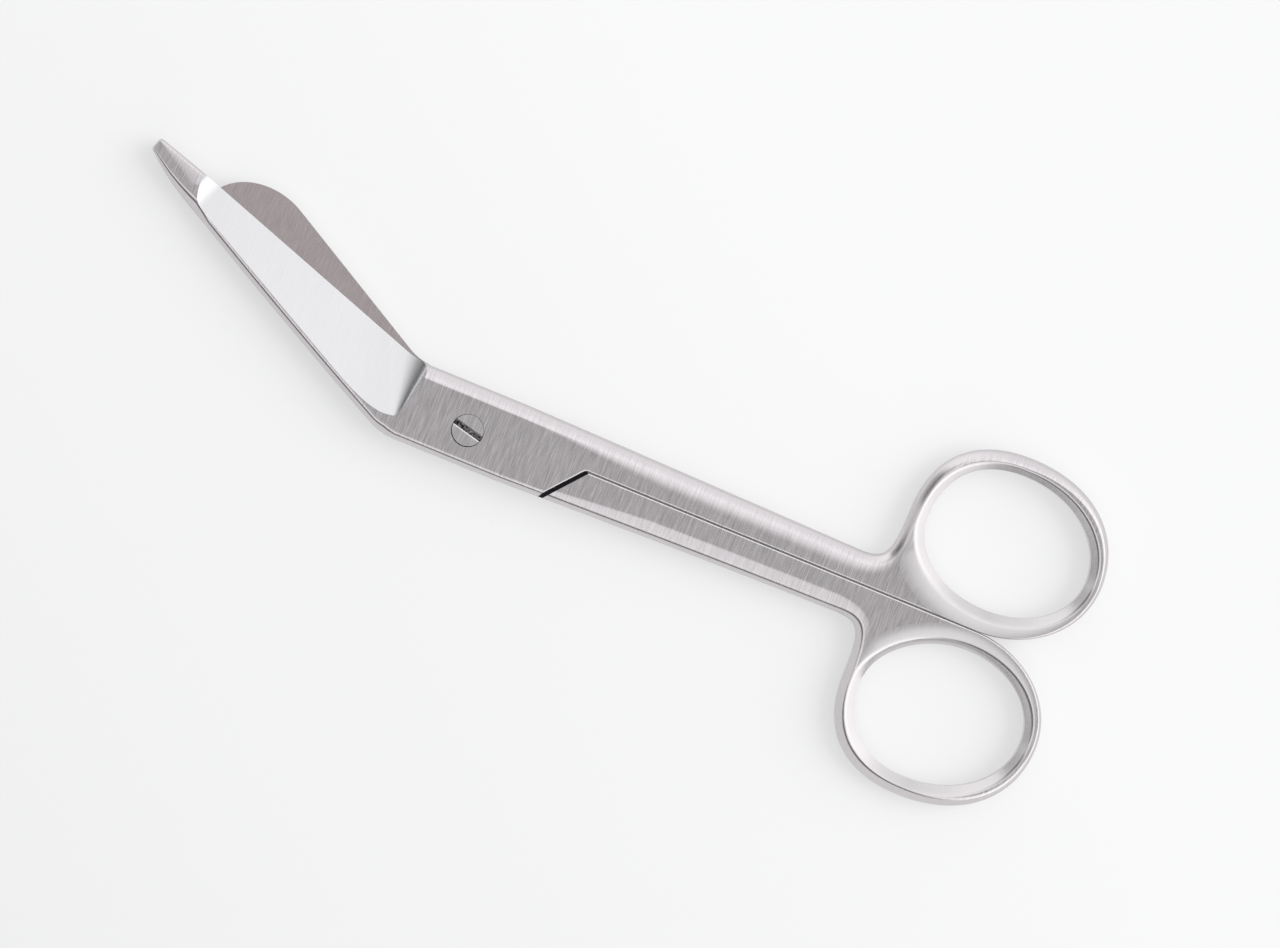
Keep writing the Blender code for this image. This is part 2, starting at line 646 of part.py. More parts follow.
def turned(name, profile, group):
    """Solid of revolution about the pivot axis, from a profile that runs top to bottom."""
    mesh = bpy.data.meshes.new(name)
    edges = [(index, index + 1) for index in range(len(profile) - 1)]
    mesh.from_pydata([(radius, 0, height) for radius, height in profile], edges, [])
    thing = bpy.data.objects.new(name, mesh)
    group.objects.link(thing)
    lathe = thing.modifiers.new("turned", "SCREW")
    lathe.steps = ROUND_STEPS
    lathe.render_steps = ROUND_STEPS
    lathe.use_merge_vertices = True
    lathe.merge_threshold = 0.0005 * MM
    return thing


def screw_profile(gap, top, bottom):
    """Profile of the screw, or of its seat when there is a gap round it."""
    shoulder = THICKNESS - HEAD_HEIGHT - gap
    head, stem = HEAD_RADIUS + gap, STEM_RADIUS + gap
    return [(0, top), (head, top), (head, shoulder), (stem, shoulder), (stem, bottom), (0, bottom)]


def pivot_screw(parts, cutters):
    """Slotted screw, flush with the top of the box and filed flush beneath it."""
    screw = turned("pivot_screw", screw_profile(0, THICKNESS, 0), parts)
    bpy.ops.mesh.primitive_cube_add(size=1)
    slot = bpy.context.object
    slot.name = "cut_slot"
    slot.scale = (2 * HEAD_RADIUS + PAST, SLOT_WIDTH, 2 * SLOT_DEPTH)
    slot.rotation_euler.z = SLOT_ANGLE
    slot.location.z = THICKNESS
    for owner in slot.users_collection:
        owner.objects.unlink(slot)
    cutters.objects.link(slot)
    subtract(screw, slot)
    return screw


def probe_half(parts, cutters):
    """Upper half: box plate on top, long blade with the probe, shank and ring."""
    shape = rim_shape(probe_outline(), 0, THICKNESS)
    taper(shape)
    half = add_object("probe_half", shape, parts)
    seat = turned("cut_screw_seat", screw_profile(SCREW_GAP, THICKNESS + PAST, -PAST), cutters)
    for cutter in (hole_cutter("cut_probe_ring", ring_hole(), cutters),
                   probe_lap_cutter(cutters),
                   probe_grinding_cutter(cutters),
                   seat):
        subtract(half, cutter)
    return half


def blunt_half(parts, cutters):
    """Lower half: box plate beneath, short round-nosed blade, shank and ring."""
    shape = rim_shape(blunt_outline(), 0, THICKNESS)
    taper(shape)
    half = add_object("blunt_half", shape, parts)
    across_seam = [Vector((point.x, 2 * SEAM_Y - point.y)) for point in reversed(ring_hole())]
    radius = STEM_RADIUS + SCREW_GAP
    tapped = turned("cut_screw_hole", [(0, THICKNESS), (radius, THICKNESS), (radius, -PAST),
                                       (0, -PAST)], cutters)
    for cutter in (hole_cutter("cut_blunt_ring", across_seam, cutters),
                   blunt_lap_cutter(cutters),
                   blunt_grinding_cutter(cutters),
                   tapped):
        subtract(half, cutter)
    return half


for leftover in list(bpy.data.objects):
    bpy.data.objects.remove(leftover, do_unlink=True)
scissors = collection("bandage_scissors")
tools = collection("cutters")

for piece, colour, roughness in (
        (probe_half(scissors, tools), (0.62, 0.61, 0.60), 0.32),
        (blunt_half(scissors, tools), (0.60, 0.59, 0.58), 0.34),
        (pivot_screw(scissors, tools), (0.55, 0.54, 0.53), 0.30)):
    piece.data.materials.append(material(piece.name + "_steel", colour, roughness))
    piece.data.shade_smooth()
    piece.data.set_sharp_from_angle(angle=math.radians(25))
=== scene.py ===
"""Bandage scissors of satin stainless steel, dressed for a portrait on a pale table.

X runs along the seam of the shanks towards the finger rings, +Y towards the ring of the probe half
and +Z up through the pivot screw, which stands at the origin. Units are metres.
"""
import math

import bmesh
import bpy
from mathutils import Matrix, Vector
from mathutils.geometry import interpolate_bezier


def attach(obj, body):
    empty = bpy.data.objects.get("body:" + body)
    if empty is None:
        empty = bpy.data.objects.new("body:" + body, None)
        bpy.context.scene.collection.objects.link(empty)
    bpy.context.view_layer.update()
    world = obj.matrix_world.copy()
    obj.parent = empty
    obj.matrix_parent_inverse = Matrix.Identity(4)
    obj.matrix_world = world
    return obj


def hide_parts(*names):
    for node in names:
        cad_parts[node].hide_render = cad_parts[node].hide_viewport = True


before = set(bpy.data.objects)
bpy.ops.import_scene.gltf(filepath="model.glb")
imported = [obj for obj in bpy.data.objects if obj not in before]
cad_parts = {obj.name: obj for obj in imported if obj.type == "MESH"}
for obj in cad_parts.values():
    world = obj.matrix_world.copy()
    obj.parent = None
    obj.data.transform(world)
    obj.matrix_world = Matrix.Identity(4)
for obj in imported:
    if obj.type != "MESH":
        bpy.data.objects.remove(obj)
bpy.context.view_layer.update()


# Probe half
# The half on top: box plate, long blade that ends in a blunt probe, shank and finger ring. One
# drop forging of stainless steel, ground along the blade and brushed across the shank by hand.

MM = 0.001
THICKNESS = 4.4 * MM
LAP_Z = THICKNESS / 2
LAP_GAP = 0.06 * MM
SEAM_Y = 0.90 * MM
SEAM_GAP = 0.04 * MM
BOX_UPPER = 6.18 * MM
BOX_LOWER = 4.84 * MM
BOX_FLAT = 6.0 * MM
NOTCH_X = 16.65 * MM
NOTCH_ANGLE = math.radians(50)
NOTCH_GAP = 0.5 * MM
NOTCH_RADIUS = 0.8 * MM

PROBE_SHANK_MID = 4.74 * MM
PROBE_SHANK_END = 4.27 * MM
SHANK_MID_X = 33.6 * MM
SHANK_END_X = 54.6 * MM

RING_THICKNESS = 3.9 * MM
RING_NEAR_X = 59.0 * MM
RING_FAR_X = 86.65 * MM
RING_NEAR_Y = 12.0 * MM
RING_FAR_Y = 11.7 * MM
RING_TOP_X = 71.7 * MM
RING_TOP_Y = 24.3 * MM
RING_LEAVES_SEAM_X = 73.3 * MM
ARM_FAR = 2.1 * MM
ARM_TOP = 2.55 * MM
ARM_NEAR = 2.5 * MM
ARM_SEAM = 3.1 * MM
RING_SQUARE_SEAM = 0.56
RING_SQUARE_FAR = 0.60
RING_SQUARE_NEAR = 0.64
HOLE_SQUARE_SEAM = 0.57
HOLE_SQUARE_FAR = 0.56
HOLE_SQUARE_NEAR = 0.62
NECK_SQUARE = 0.88

PROBE_EDGE_X = -9.9 * MM
LOWER_BEND_X = -10.9 * MM
PROBE_ROOT_RADIUS = 12.0 * MM
HEEL_RADIUS = 8.0 * MM
PROBE_EDGE_ANGLE = math.radians(18.9)
PROBE_SHOULDER = 36.3 * MM
PROBE_LENGTH = 45.5 * MM
PROBE_TIP_DROP = 0.2 * MM
PROBE_SHOULDER_WIDTH = 4.7 * MM
PROBE_TIP_WIDTH = 1.9 * MM
PROBE_TIP_RADIUS = 0.5 * MM
PROBE_RIM_LENGTH = 3.0 * MM
NOSE_REACH = 47.2 * MM
PROBE_RISE = 3.5 * MM
SWING_END = math.radians(220)

BLADE_BEND_X = -12.0 * MM
TIP_X = PROBE_EDGE_X - PROBE_LENGTH * math.cos(PROBE_EDGE_ANGLE)
TIP_SHARE = 0.70
EDGE_THICKNESS = 0.14 * MM
LAND = 0.28 * MM
SPINE_BULGE = 0.16 * MM
SHARP_ANGLE = math.radians(24)
GRIND_X = -10.33 * MM
GRIND_TURN = math.radians(24.5)
GRIND_DIP = 0.3
GRIND_HANDLES = (0.8, 0.6)
FACE_RISE = math.radians(4.6)
GRIND_Y = -2.0 * MM
GRIND_BEND = 10.5 * MM
GRIND_SHORT = 1.1 * MM
WHEEL_ROLL = 10.4 * MM
WHEEL_ROLL_SPINE = 1.4 * MM
WHEEL_CLEAR = 0.4 * MM
PAST_SPINE = 0.2
PAST_EDGE = 0.5
STEP_BREAK = 0.09 * MM
STEP_START = Vector((-12.5, -2.0)) * MM
STEP_END = Vector((-8.0, 4.2)) * MM
RUNOUT_RADIUS = 3.4 * MM
RUNOUT_ANGLE = math.radians(70)

# Rims in mm: width and depth of the bevel, width and drop of the roll inside it, then how round
# the bevel is (0 a chamfer, 1 an arc) and how round the roll is (1 a facet, 2 a soft roll)
SHARP = Vector((0, 0, 0, 0, 0, 1))
BROKEN = Vector((0.07, 0.6, 0.2, 0.028, 0.2, 1.2))
RING_RIM = Vector((1.2, 1.25, 0.25, 0.02, 0.25, 2))
RING_FAR_RIM = Vector((0.4, 0.7, 0.4, 0.03, 0.2, 2))
PROBE_SHANK_RIM = Vector((1.2, 1.3, 2.2, 0.2, 0.8, 2))
PROBE_BOX_RIM = Vector((1.5, 1.25, 0.28, 0.02, 0.8, 1.5))
SPINE_RIM = Vector((0.67, 0.95, 0.4, 0.03, 0.3, 1.5))
HEEL_RIM = Vector((0.85, 1.15, 0.4, 0.03, 0.3, 1.5))
EDGE_TOE_RIM = Vector((0.35, 0.5, 2.1, 0.2, 0.8, 1.4))
SPINE_TOE_RIM = Vector((1.1, 2.0, 0.3, 0.03, 0.3, 2))
TIP_RIM = Vector((0.3, 0.6, 0.1, 0.01, 0.5, 2))
NEAR_HOLE_RIM = Vector((1.2, 1.0, 0.2, 0.015, 0, 2))
FAR_HOLE_RIM = Vector((1.05, 1.0, 0.2, 0.015, 0, 2))
TOP_HOLE_RIM = Vector((0.7, 0.8, 0.3, 0.02, 0, 2))
WEB_HOLE_RIM = Vector((1.25, 1.05, 2.9, 0.26, 0, 1.45))
CREST_ANGLE = math.radians(58)
CREST_ROUND = 0.15

BEVEL_SHARES = (0, 0.1, 0.24, 0.38, 0.52, 0.66, 0.8, 1 - CREST_ROUND)
ROUND_SHARES = (0.2, 0.4, 0.6, 0.8)
ROLL_SHARES = (0, 0.1, 0.25, 0.42, 0.6, 0.8, 1)
QUARTER_STEPS = 48
NECK_STEPS = 32
BEND_STEPS = 12
ROLL_STOP = 8
WEB_START = 14
BLADE_STEPS = 12
TURNED_STEPS = 96
PAST = 2.0 * MM

SAME_POINT = 0.01 * MM
MERGE = 0.0005 * MM
CUT_MERGE = 0.0002 * MM
SEAM_MERGE = 0.001 * MM
ON_PLANE = 0.0001 * MM
SHARP_TURN = 0.5
GRAIN_SCALE = 10


def curve(start, start_handle, end_handle, end, steps):
    return [Vector(point[:2]) for point in
            interpolate_bezier(start, start_handle, end_handle, end, steps + 1)]


def quarter(start, corner, end, square, steps):
    return curve(start, start.lerp(corner, square), end.lerp(corner, square), end, steps)


def fillet(before, corner, after, radius):
    back = (before - corner).normalized()
    ahead = (after - corner).normalized()
    half = back.angle(ahead) / 2
    reach = radius / math.tan(half)
    handle = reach - radius * 4 / 3 * math.tan((math.pi / 2 - half) / 2)
    return curve(corner + back * reach, corner + back * handle,
                 corner + ahead * handle, corner + ahead * reach, BEND_STEPS)


def heading(angle):
    return Vector((-math.cos(angle), math.sin(angle)))


def left_of(way):
    return Vector((-way.y, way.x)).normalized()


def meet(point, along, other, other_along):
    across = left_of(other_along)
    return point + along * ((other - point).dot(across) / along.dot(across))


def spread(start, end, steps):
    return [start.lerp(end, step / steps) for step in range(steps + 1)]


def run(points, rim, end_rim=None):
    return points, rim, rim if end_rim is None else end_rim


def from_seam(x, distance):
    return Vector((x, SEAM_Y + distance))


def ring_hole(arm_seam, near_seam_square, top_rim, web_rim):
    """Runs of the finger hole on the probe half's side, counter-clockwise."""
    far = from_seam(RING_FAR_X - ARM_FAR, RING_FAR_Y)
    top = from_seam(RING_TOP_X, RING_TOP_Y - ARM_TOP)
    near = from_seam(RING_NEAR_X + ARM_NEAR, RING_NEAR_Y)
    seam = from_seam(RING_LEAVES_SEAM_X, arm_seam)
    to_seam = quarter(near, Vector((near.x, seam.y)), seam, near_seam_square, QUARTER_STEPS)
    return [run(quarter(far, Vector((far.x, top.y)), top, HOLE_SQUARE_FAR, QUARTER_STEPS),
                FAR_HOLE_RIM, top_rim),
            run(quarter(top, Vector((near.x, top.y)), near, HOLE_SQUARE_NEAR, QUARTER_STEPS),
                top_rim, NEAR_HOLE_RIM),
            run(to_seam[:WEB_START + 1], NEAR_HOLE_RIM, web_rim),
            run(to_seam[WEB_START:], web_rim),
            run(quarter(seam, Vector((far.x, seam.y)), far, HOLE_SQUARE_SEAM, QUARTER_STEPS),
                web_rim, FAR_HOLE_RIM)]


def handle_runs(box_edge, shank_mid, shank_end, box_rim, shank_rim, ring_rim):
    """Seam, ring and outer edge of the shank, for the half on the probe side of the seam."""
    seam_start = from_seam(NOTCH_X + NOTCH_RADIUS, SEAM_GAP / 2)
    seam = from_seam(RING_LEAVES_SEAM_X, SEAM_GAP / 2)
    far = from_seam(RING_FAR_X, RING_FAR_Y)
    top = from_seam(RING_TOP_X, RING_TOP_Y)
    near = from_seam(RING_NEAR_X, RING_NEAR_Y)
    end = from_seam(SHANK_END_X, shank_end)
    mid = from_seam(SHANK_MID_X, shank_mid)
    box = from_seam(BOX_FLAT, box_edge)
    to_far = quarter(seam, Vector((far.x, seam.y)), far, RING_SQUARE_SEAM, QUARTER_STEPS)
    to_top = quarter(far, Vector((far.x, top.y)), top, RING_SQUARE_FAR, QUARTER_STEPS)
    to_near = quarter(top, Vector((near.x, top.y)), near, RING_SQUARE_NEAR, QUARTER_STEPS)
    neck = quarter(near, Vector((near.x, end.y)), end, NECK_SQUARE, NECK_STEPS)
    shank = curve(end, end.lerp(mid, 0.5), mid.lerp(box, 0.1), box, BEND_STEPS)
    return [run([seam_start, seam], BROKEN),
            run(to_far, BROKEN, RING_FAR_RIM),
            run(to_top, RING_FAR_RIM, ring_rim),
            run(to_near, ring_rim),
            run(neck, ring_rim, shank_rim),
            run(shank[:ROLL_STOP + 1], shank_rim),
            run(shank[ROLL_STOP:], shank_rim, box_rim)]


def notch_runs(box_edge, shank_mid, rim):
    """Box edge on the far side of the seam, and the end of the lapped plate up to the seam."""
    slope = Vector((math.cos(NOTCH_ANGLE), math.sin(NOTCH_ANGLE)))
    corner = from_seam(NOTCH_X, SEAM_GAP / 2)
    box = from_seam(BOX_FLAT, -box_edge)
    foot = meet(corner, slope, box, from_seam(SHANK_MID_X, -shank_mid) - box)
    inner = fillet(foot, corner, corner + Vector((PAST, 0)), NOTCH_RADIUS)
    return [run([box, foot], rim), run([foot, inner[0]], BROKEN), run(inner, BROKEN)]


def probe_corners():
    """Root, shoulder and tip of the probe blade's edge, then those of its spine."""
    way = heading(PROBE_EDGE_ANGLE)
    inward = left_of(way)
    root = Vector((PROBE_EDGE_X, BOX_UPPER))
    shoulder = root + way * PROBE_SHOULDER
    tip = root + way * PROBE_LENGTH + inward * PROBE_TIP_DROP
    return (root, shoulder, tip,
            Vector((LOWER_BEND_X, -BOX_LOWER)),
            shoulder + inward * PROBE_SHOULDER_WIDTH,
            tip + inward * PROBE_TIP_WIDTH)


def probe_outline(blunt_shank_mid):
    """Outline of the probe half, counter-clockwise from the seam."""
    edge_root, shoulder, tip, spine_root, spine_shoulder, spine_tip = probe_corners()
    edge_way = heading(PROBE_EDGE_ANGLE)
    spine_way = (spine_shoulder - spine_root).normalized()
    probe_bend = spine_shoulder + spine_way * (PROBE_LENGTH - PROBE_SHOULDER) / 2

    root = fillet(Vector((0, BOX_UPPER)), edge_root, shoulder, PROBE_ROOT_RADIUS)
    ground = root[-1] + edge_way * PROBE_BOX_RIM[0] * MM
    tip_round = fillet(shoulder, tip, spine_tip, PROBE_TIP_RADIUS)
    spine_round = fillet(tip, spine_tip, probe_bend, PROBE_TIP_RADIUS)
    probe_spine = curve(spine_round[-1], spine_round[-1].lerp(probe_bend, 0.5),
                        probe_bend, spine_shoulder, BEND_STEPS)
    heel = fillet(spine_shoulder, spine_root, Vector((0, -BOX_LOWER)), HEEL_RADIUS)
    face_end = shoulder - edge_way * GRIND_SHORT
    probe_start = face_end + edge_way * PROBE_RIM_LENGTH
    blade_start = spine_shoulder - spine_way * PROBE_RIM_LENGTH
    bulge = left_of(spine_way) * SPINE_BULGE
    spine = curve(blade_start, blade_start.lerp(heel[0], 1 / 3) + bulge * 4 / 3,
                  blade_start.lerp(heel[0], 2 / 3) + bulge * 4 / 3, heel[0], 2 * BEND_STEPS)
    notch = notch_runs(BOX_LOWER + SEAM_Y, blunt_shank_mid, SPINE_RIM)
    return (handle_runs(BOX_UPPER - SEAM_Y, PROBE_SHANK_MID, PROBE_SHANK_END, PROBE_BOX_RIM,
                        PROBE_SHANK_RIM, RING_RIM)
            + [run([Vector((BOX_FLAT, BOX_UPPER)), root[0]], PROBE_BOX_RIM),
               run(root, PROBE_BOX_RIM),
               run([root[-1], ground], PROBE_BOX_RIM, SHARP),
               run([ground, face_end], SHARP),
               run(spread(face_end, probe_start, BEND_STEPS), SHARP, EDGE_TOE_RIM),
               run([probe_start, tip_round[0]], EDGE_TOE_RIM, TIP_RIM),
               run(tip_round, TIP_RIM),
               run([tip_round[-1], spine_round[0]], TIP_RIM),
               run(spine_round, TIP_RIM),
               run(probe_spine, TIP_RIM, SPINE_TOE_RIM),
               run(spread(spine_shoulder, blade_start, BEND_STEPS), SPINE_TOE_RIM, SPINE_RIM),
               run(spine, SPINE_RIM),
               run(heel[:BEND_STEPS // 2 + 1], SPINE_RIM, HEEL_RIM),
               run(heel[BEND_STEPS // 2:], HEEL_RIM, SPINE_RIM),
               run([heel[-1], notch[0][0][0]], SPINE_RIM)]
            + notch)


def rim_section(rim, crest):
    """Pairs of distance inside the outline and depth below the face, from the wall inwards."""
    width, depth, roll, drop, bevel_round, roll_round = rim
    pairs = []
    for share in BEVEL_SHARES:
        turn = crest * share
        across = (1 - math.cos(turn)) / (1 - math.cos(crest))
        down = 1 - math.sin(turn) / math.sin(crest)
        straight = (across + 1 - down) / 2
        across = straight + (across - straight) * bevel_round
        down = 1 - straight + (down - 1 + straight) * bevel_round
        pairs.append(Vector((width * across, drop + depth * down)))
    corner = Vector((width, drop))
    reach = (pairs[-1] - corner).length
    inner = max(roll, 2 * reach)
    rolled = []
    for share in ROLL_SHARES:
        across = reach + (inner - reach) * share
        down = drop * (1 - across / roll) ** roll_round if across < roll else 0
        rolled.append(Vector((width + across, down)))
    for share in ROUND_SHARES:
        before = pairs[len(BEVEL_SHARES) - 1].lerp(corner, share)
        pairs.append(before.lerp(corner.lerp(rolled[0], share), share))
    return [pair * MM for pair in pairs + rolled]


def joined(runs):
    """Every point of the runs once, with the rims before and after it."""
    stops = []
    for points, rim, end_rim in runs:
        lengths = [0.0]
        for point, following in zip(points, points[1:]):
            lengths.append(lengths[-1] + (following - point).length)
        for point, length in zip(points, lengths):
            here = rim.lerp(end_rim, length / lengths[-1])
            if stops and (stops[-1][0] - point).length < SAME_POINT:
                stops[-1][2] = here
            else:
                stops.append([point, here, here])
    if (stops[0][0] - stops[-1][0]).length < SAME_POINT:
        stops[0][1] = stops.pop()[1]
    return stops


def inset(before, point, after, rim_before, rim_after):
    """The point moved inside an outline by its distance from each of its two edges."""
    way_in = (point - before).normalized()
    way_out = (after - point).normalized()
    normal_in = left_of(way_in)
    normal_out = left_of(way_out)
    turn = way_in.x * way_out.y - way_in.y * way_out.x
    if abs(turn) > SHARP_TURN:
        across = (rim_after - rim_before * normal_in.dot(normal_out)) / turn
        return point + normal_in * rim_before - way_in * across
    bisector = (normal_in + normal_out).normalized()
    return point + bisector * ((rim_before + rim_after) / 2 / bisector.dot(normal_in))


def rim_shape(runs, low, high, crest=CREST_ANGLE, outward=False):
    """Bmesh of an outline between two heights, with its rims rounded at both faces."""
    stops = joined(runs)
    columns = []
    for index, (point, rim_in, rim_out) in enumerate(stops):
        before = stops[index - 1][0]
        after = stops[(index + 1) % len(stops)][0]
        deeper = max(rim_in, rim_out, key=lambda rim: rim[1])
        column = []
        for pair_in, pair_out, (_, depth) in zip(rim_section(rim_in, crest),
                                                 rim_section(rim_out, crest),
                                                 rim_section(deeper, crest)):
            sign = -1 if outward else 1
            column.append((inset(before, point, after, sign * pair_in[0], sign * pair_out[0]),
                           depth))
        columns.append(column)

    shape = bmesh.new()
    rings = []
    for row in reversed(range(len(columns[0]))):
        rings.append([shape.verts.new((*column[row][0], low + column[row][1]))
                      for column in columns])
    for row in range(len(columns[0])):
        rings.append([shape.verts.new((*column[row][0], high - column[row][1]))
                      for column in columns])
    for ring, above in zip(rings, rings[1:]):
        for index in range(len(ring)):
            following = (index + 1) % len(ring)
            shape.faces.new((ring[index], ring[following], above[following], above[index]))
    shape.faces.new(list(reversed(rings[0])))
    shape.faces.new(rings[-1])
    bmesh.ops.remove_doubles(shape, verts=shape.verts, dist=MERGE)
    return shape


def share_at(x):
    """Share of the full thickness that a half has at a place along it."""
    if x < BLADE_BEND_X:
        return 1 - (1 - TIP_SHARE) * (BLADE_BEND_X - x) / (BLADE_BEND_X - TIP_X)
    if x > NOTCH_X:
        way = min(1, (x - NOTCH_X) / (SHANK_END_X - NOTCH_X))
        return 1 - (1 - RING_THICKNESS / THICKNESS) * way
    return 1


def taper(shape):
    """Thin the blades towards the lap, and the shanks towards the rings down to the underside."""
    for x in (BLADE_BEND_X, NOTCH_X, SHANK_END_X):
        bmesh.ops.bisect_plane(shape, geom=shape.verts[:] + shape.edges[:] + shape.faces[:],
                               plane_co=(x, 0, 0), plane_no=(1, 0, 0), dist=ON_PLANE)
    for vert in shape.verts:
        level = LAP_Z if vert.co.x < 0 else 0
        vert.co.z = level + (vert.co.z - level) * share_at(vert.co.x)


def solid(name, shape, finish):
    """An object of the closed bmesh, all in one finish."""
    bmesh.ops.remove_doubles(shape, verts=shape.verts, dist=MERGE)
    bmesh.ops.recalc_face_normals(shape, faces=shape.faces)
    mesh = bpy.data.meshes.new(name)
    shape.to_mesh(mesh)
    shape.free()
    mesh.materials.append(finish)
    thing = bpy.data.objects.new(name, mesh)
    bpy.context.scene.collection.objects.link(thing)
    return thing


def broken_here(place):
    """Whether a place lies where the step beside the ground face is broken with a stone."""
    return (STEP_START.x < place.x < STEP_END.x and STEP_START.y < place.y < STEP_END.y
            and place.z > THICKNESS - SEAM_MERGE)


def dressed(name, mesh):
    """A piece of the mesh: smooth but for its edges, with even normals and a map for the grain."""
    shape = bmesh.new()
    shape.from_mesh(mesh)
    bmesh.ops.remove_doubles(shape, verts=shape.verts, dist=CUT_MERGE)
    bmesh.ops.delete(shape, geom=[edge for edge in shape.edges if not edge.link_faces],
                     context="EDGES")
    step = [edge for edge in shape.edges
            if len({face.material_index for face in edge.link_faces}) == 2
            and edge.calc_face_angle(0) > SHARP_ANGLE
            and all(broken_here(vert.co) for vert in edge.verts)]
    if step:
        bmesh.ops.bevel(shape, geom=step, offset=STEP_BREAK, segments=3, profile=0.5,
                        affect="EDGES", clamp_overlap=True)
    for face in shape.faces:
        face.smooth = True
    for edge in shape.edges:
        finishes = {face.material_index for face in edge.link_faces}
        edge.smooth = len(finishes) == 1 and edge.calc_face_angle(math.pi) < SHARP_ANGLE
    shape.to_mesh(mesh)
    shape.free()
    piece = bpy.data.objects.new(name, mesh)
    bpy.context.scene.collection.objects.link(piece)
    even = piece.modifiers.new("even_normals", "WEIGHTED_NORMAL")
    even.keep_sharp = True
    even.weight = 60
    grain = mesh.uv_layers.new(name="grain")
    for loop in mesh.loops:
        place = mesh.vertices[loop.vertex_index].co
        grain.uv[loop.index].vector = place.xy * GRAIN_SCALE
    return piece


def cut(name, blank, cutters):
    """The blank with the cutters taken off, each cut in its cutter's finish, as a plain piece."""
    for cutter in cutters:
        step = blank.modifiers.new(cutter.name, "BOOLEAN")
        step.operation = "DIFFERENCE"
        step.solver = "EXACT"
        step.material_mode = "TRANSFER"
        step.object = cutter
    bpy.context.view_layer.update()
    seen = blank.evaluated_get(bpy.context.evaluated_depsgraph_get())
    mesh = bpy.data.meshes.new_from_object(seen)
    mesh.name = name
    for done in [blank, *cutters]:
        bpy.data.objects.remove(done)
    return dressed(name, mesh)


def lap_edge(side):
    """Two points on the edge where a half becomes full thickness, from the seam outwards."""
    start = NOTCH_X + NOTCH_GAP / math.sin(NOTCH_ANGLE)
    reach = 4 * BOX_UPPER
    outer = Vector((start - reach / math.tan(NOTCH_ANGLE), SEAM_Y + side * reach))
    return Vector((start, SEAM_Y)), outer


def hole_shape(runs):
    """Finger hole whose mouths open out into the ring's inner bevel."""
    shape = rim_shape(runs, 0, RING_THICKNESS, outward=True)
    caps = sorted(shape.faces, key=lambda face: len(face.verts))[-2:]
    for cap in caps:
        lift = PAST if cap.calc_center_median().z > LAP_Z else -PAST
        grown = bmesh.ops.extrude_face_region(shape, geom=[cap])["geom"]
        for vert in (item for item in grown if isinstance(item, bmesh.types.BMVert)):
            vert.co.z += lift
        shape.faces.remove(cap)
    return shape


def rolled_out(length, rise, steps):
    """Places along and above a face whose slope turns upright over a length, ever faster."""
    places, along, lift = [], 0, 0
    for index in range(steps):
        turn = -rise + (math.pi / 2 + rise) * ((index + 0.5) / steps) ** 2
        along += math.cos(turn) * length / steps
        lift += math.sin(turn) * length / steps
        places.append((along, lift))
    return places


def wheel_shape(spine_rail, edge_rail, away, side, runs_out):
    """Body swept by a grinding wheel along two rails, above a blade or, for side -1, below it."""
    up = Vector((0, 0, side))
    rows = list(zip(spine_rail, edge_rail))
    start, finish = rows[0], rows[-1]
    steps = 3 * BEND_STEPS
    profiles = [rolled_out(WHEEL_ROLL_SPINE, 0, steps), rolled_out(WHEEL_ROLL, FACE_RISE, steps)]
    step_rows = []
    for places in zip(*profiles):
        step_rows.insert(0, [point + Vector((along, 0, 0)) + up * lift
                             for point, (along, lift) in zip(start, places)])
    if runs_out:
        for index in range(1, steps + 1):
            turn = RUNOUT_ANGLE * index / steps
            shift = (away.to_3d() * RUNOUT_RADIUS * math.sin(turn)
                     + up * RUNOUT_RADIUS * (1 - math.cos(turn)))
            rows.append([point + shift for point in finish])
    shape = bmesh.new()
    grid = []
    for spine, edge in step_rows + rows:
        across = edge - spine
        beyond = spine - across * PAST_SPINE
        beyond.z = spine.z + side * WHEEL_CLEAR
        line = [beyond, spine, edge, edge + across * PAST_EDGE]
        grid.append([shape.verts.new(point) for point in line])
    for near, far in zip(grid, grid[1:]):
        for index in range(len(near) - 1):
            shape.faces.new((near[index], near[index + 1], far[index + 1], far[index]))
    grown = bmesh.ops.extrude_face_region(shape, geom=shape.faces[:])["geom"]
    for vert in (item for item in grown if isinstance(item, bmesh.types.BMVert)):
        vert.co.z = LAP_Z + side * (THICKNESS + PAST)
    return shape


def ground_rails(spine_points, edge_root, edge_way, first_across, last_across, side):
    """Rails of a ground face: at the outer face along the spine, thin at the cutting edge."""
    thick = LAP_GAP / 2 + EDGE_THICKNESS
    spine, edge = [], []
    for index, point in enumerate(spine_points):
        across = first_across.lerp(last_across, index / (len(spine_points) - 1))
        opposite = meet(point, across, edge_root, edge_way)
        spine.append(Vector((*point, LAP_Z + side * LAP_Z * share_at(point.x))))
        edge.append(Vector((*opposite, LAP_Z + side * thick * share_at(opposite.x))))
    return spine, edge


def probe_lap_shape():
    """What the probe half's plate and blade leave free for the other half, up to the probe."""
    seam, outer = lap_edge(1)
    first = math.atan2(outer.y, outer.x)
    swing = []
    for step in range(2 * QUARTER_STEPS + 1):
        angle = first + (SWING_END - first) * step / (2 * QUARTER_STEPS)
        swing.append(Vector((math.cos(angle), math.sin(angle))) * (NOSE_REACH + PROBE_RISE))
    low_edge = -BOX_LOWER - PAST
    back = swing[-1] * (low_edge / swing[-1].y)
    runs = [run([back, Vector((seam.x, low_edge)), seam, outer, swing[0]], SHARP),
            run(swing, Vector((PROBE_RISE / MM, LAP_Z / MM, 0, 0, 1, 1))),
            run([swing[-1], back], SHARP)]
    return rim_shape(runs, -THICKNESS, LAP_Z + LAP_GAP / 2, crest=math.pi / 2)


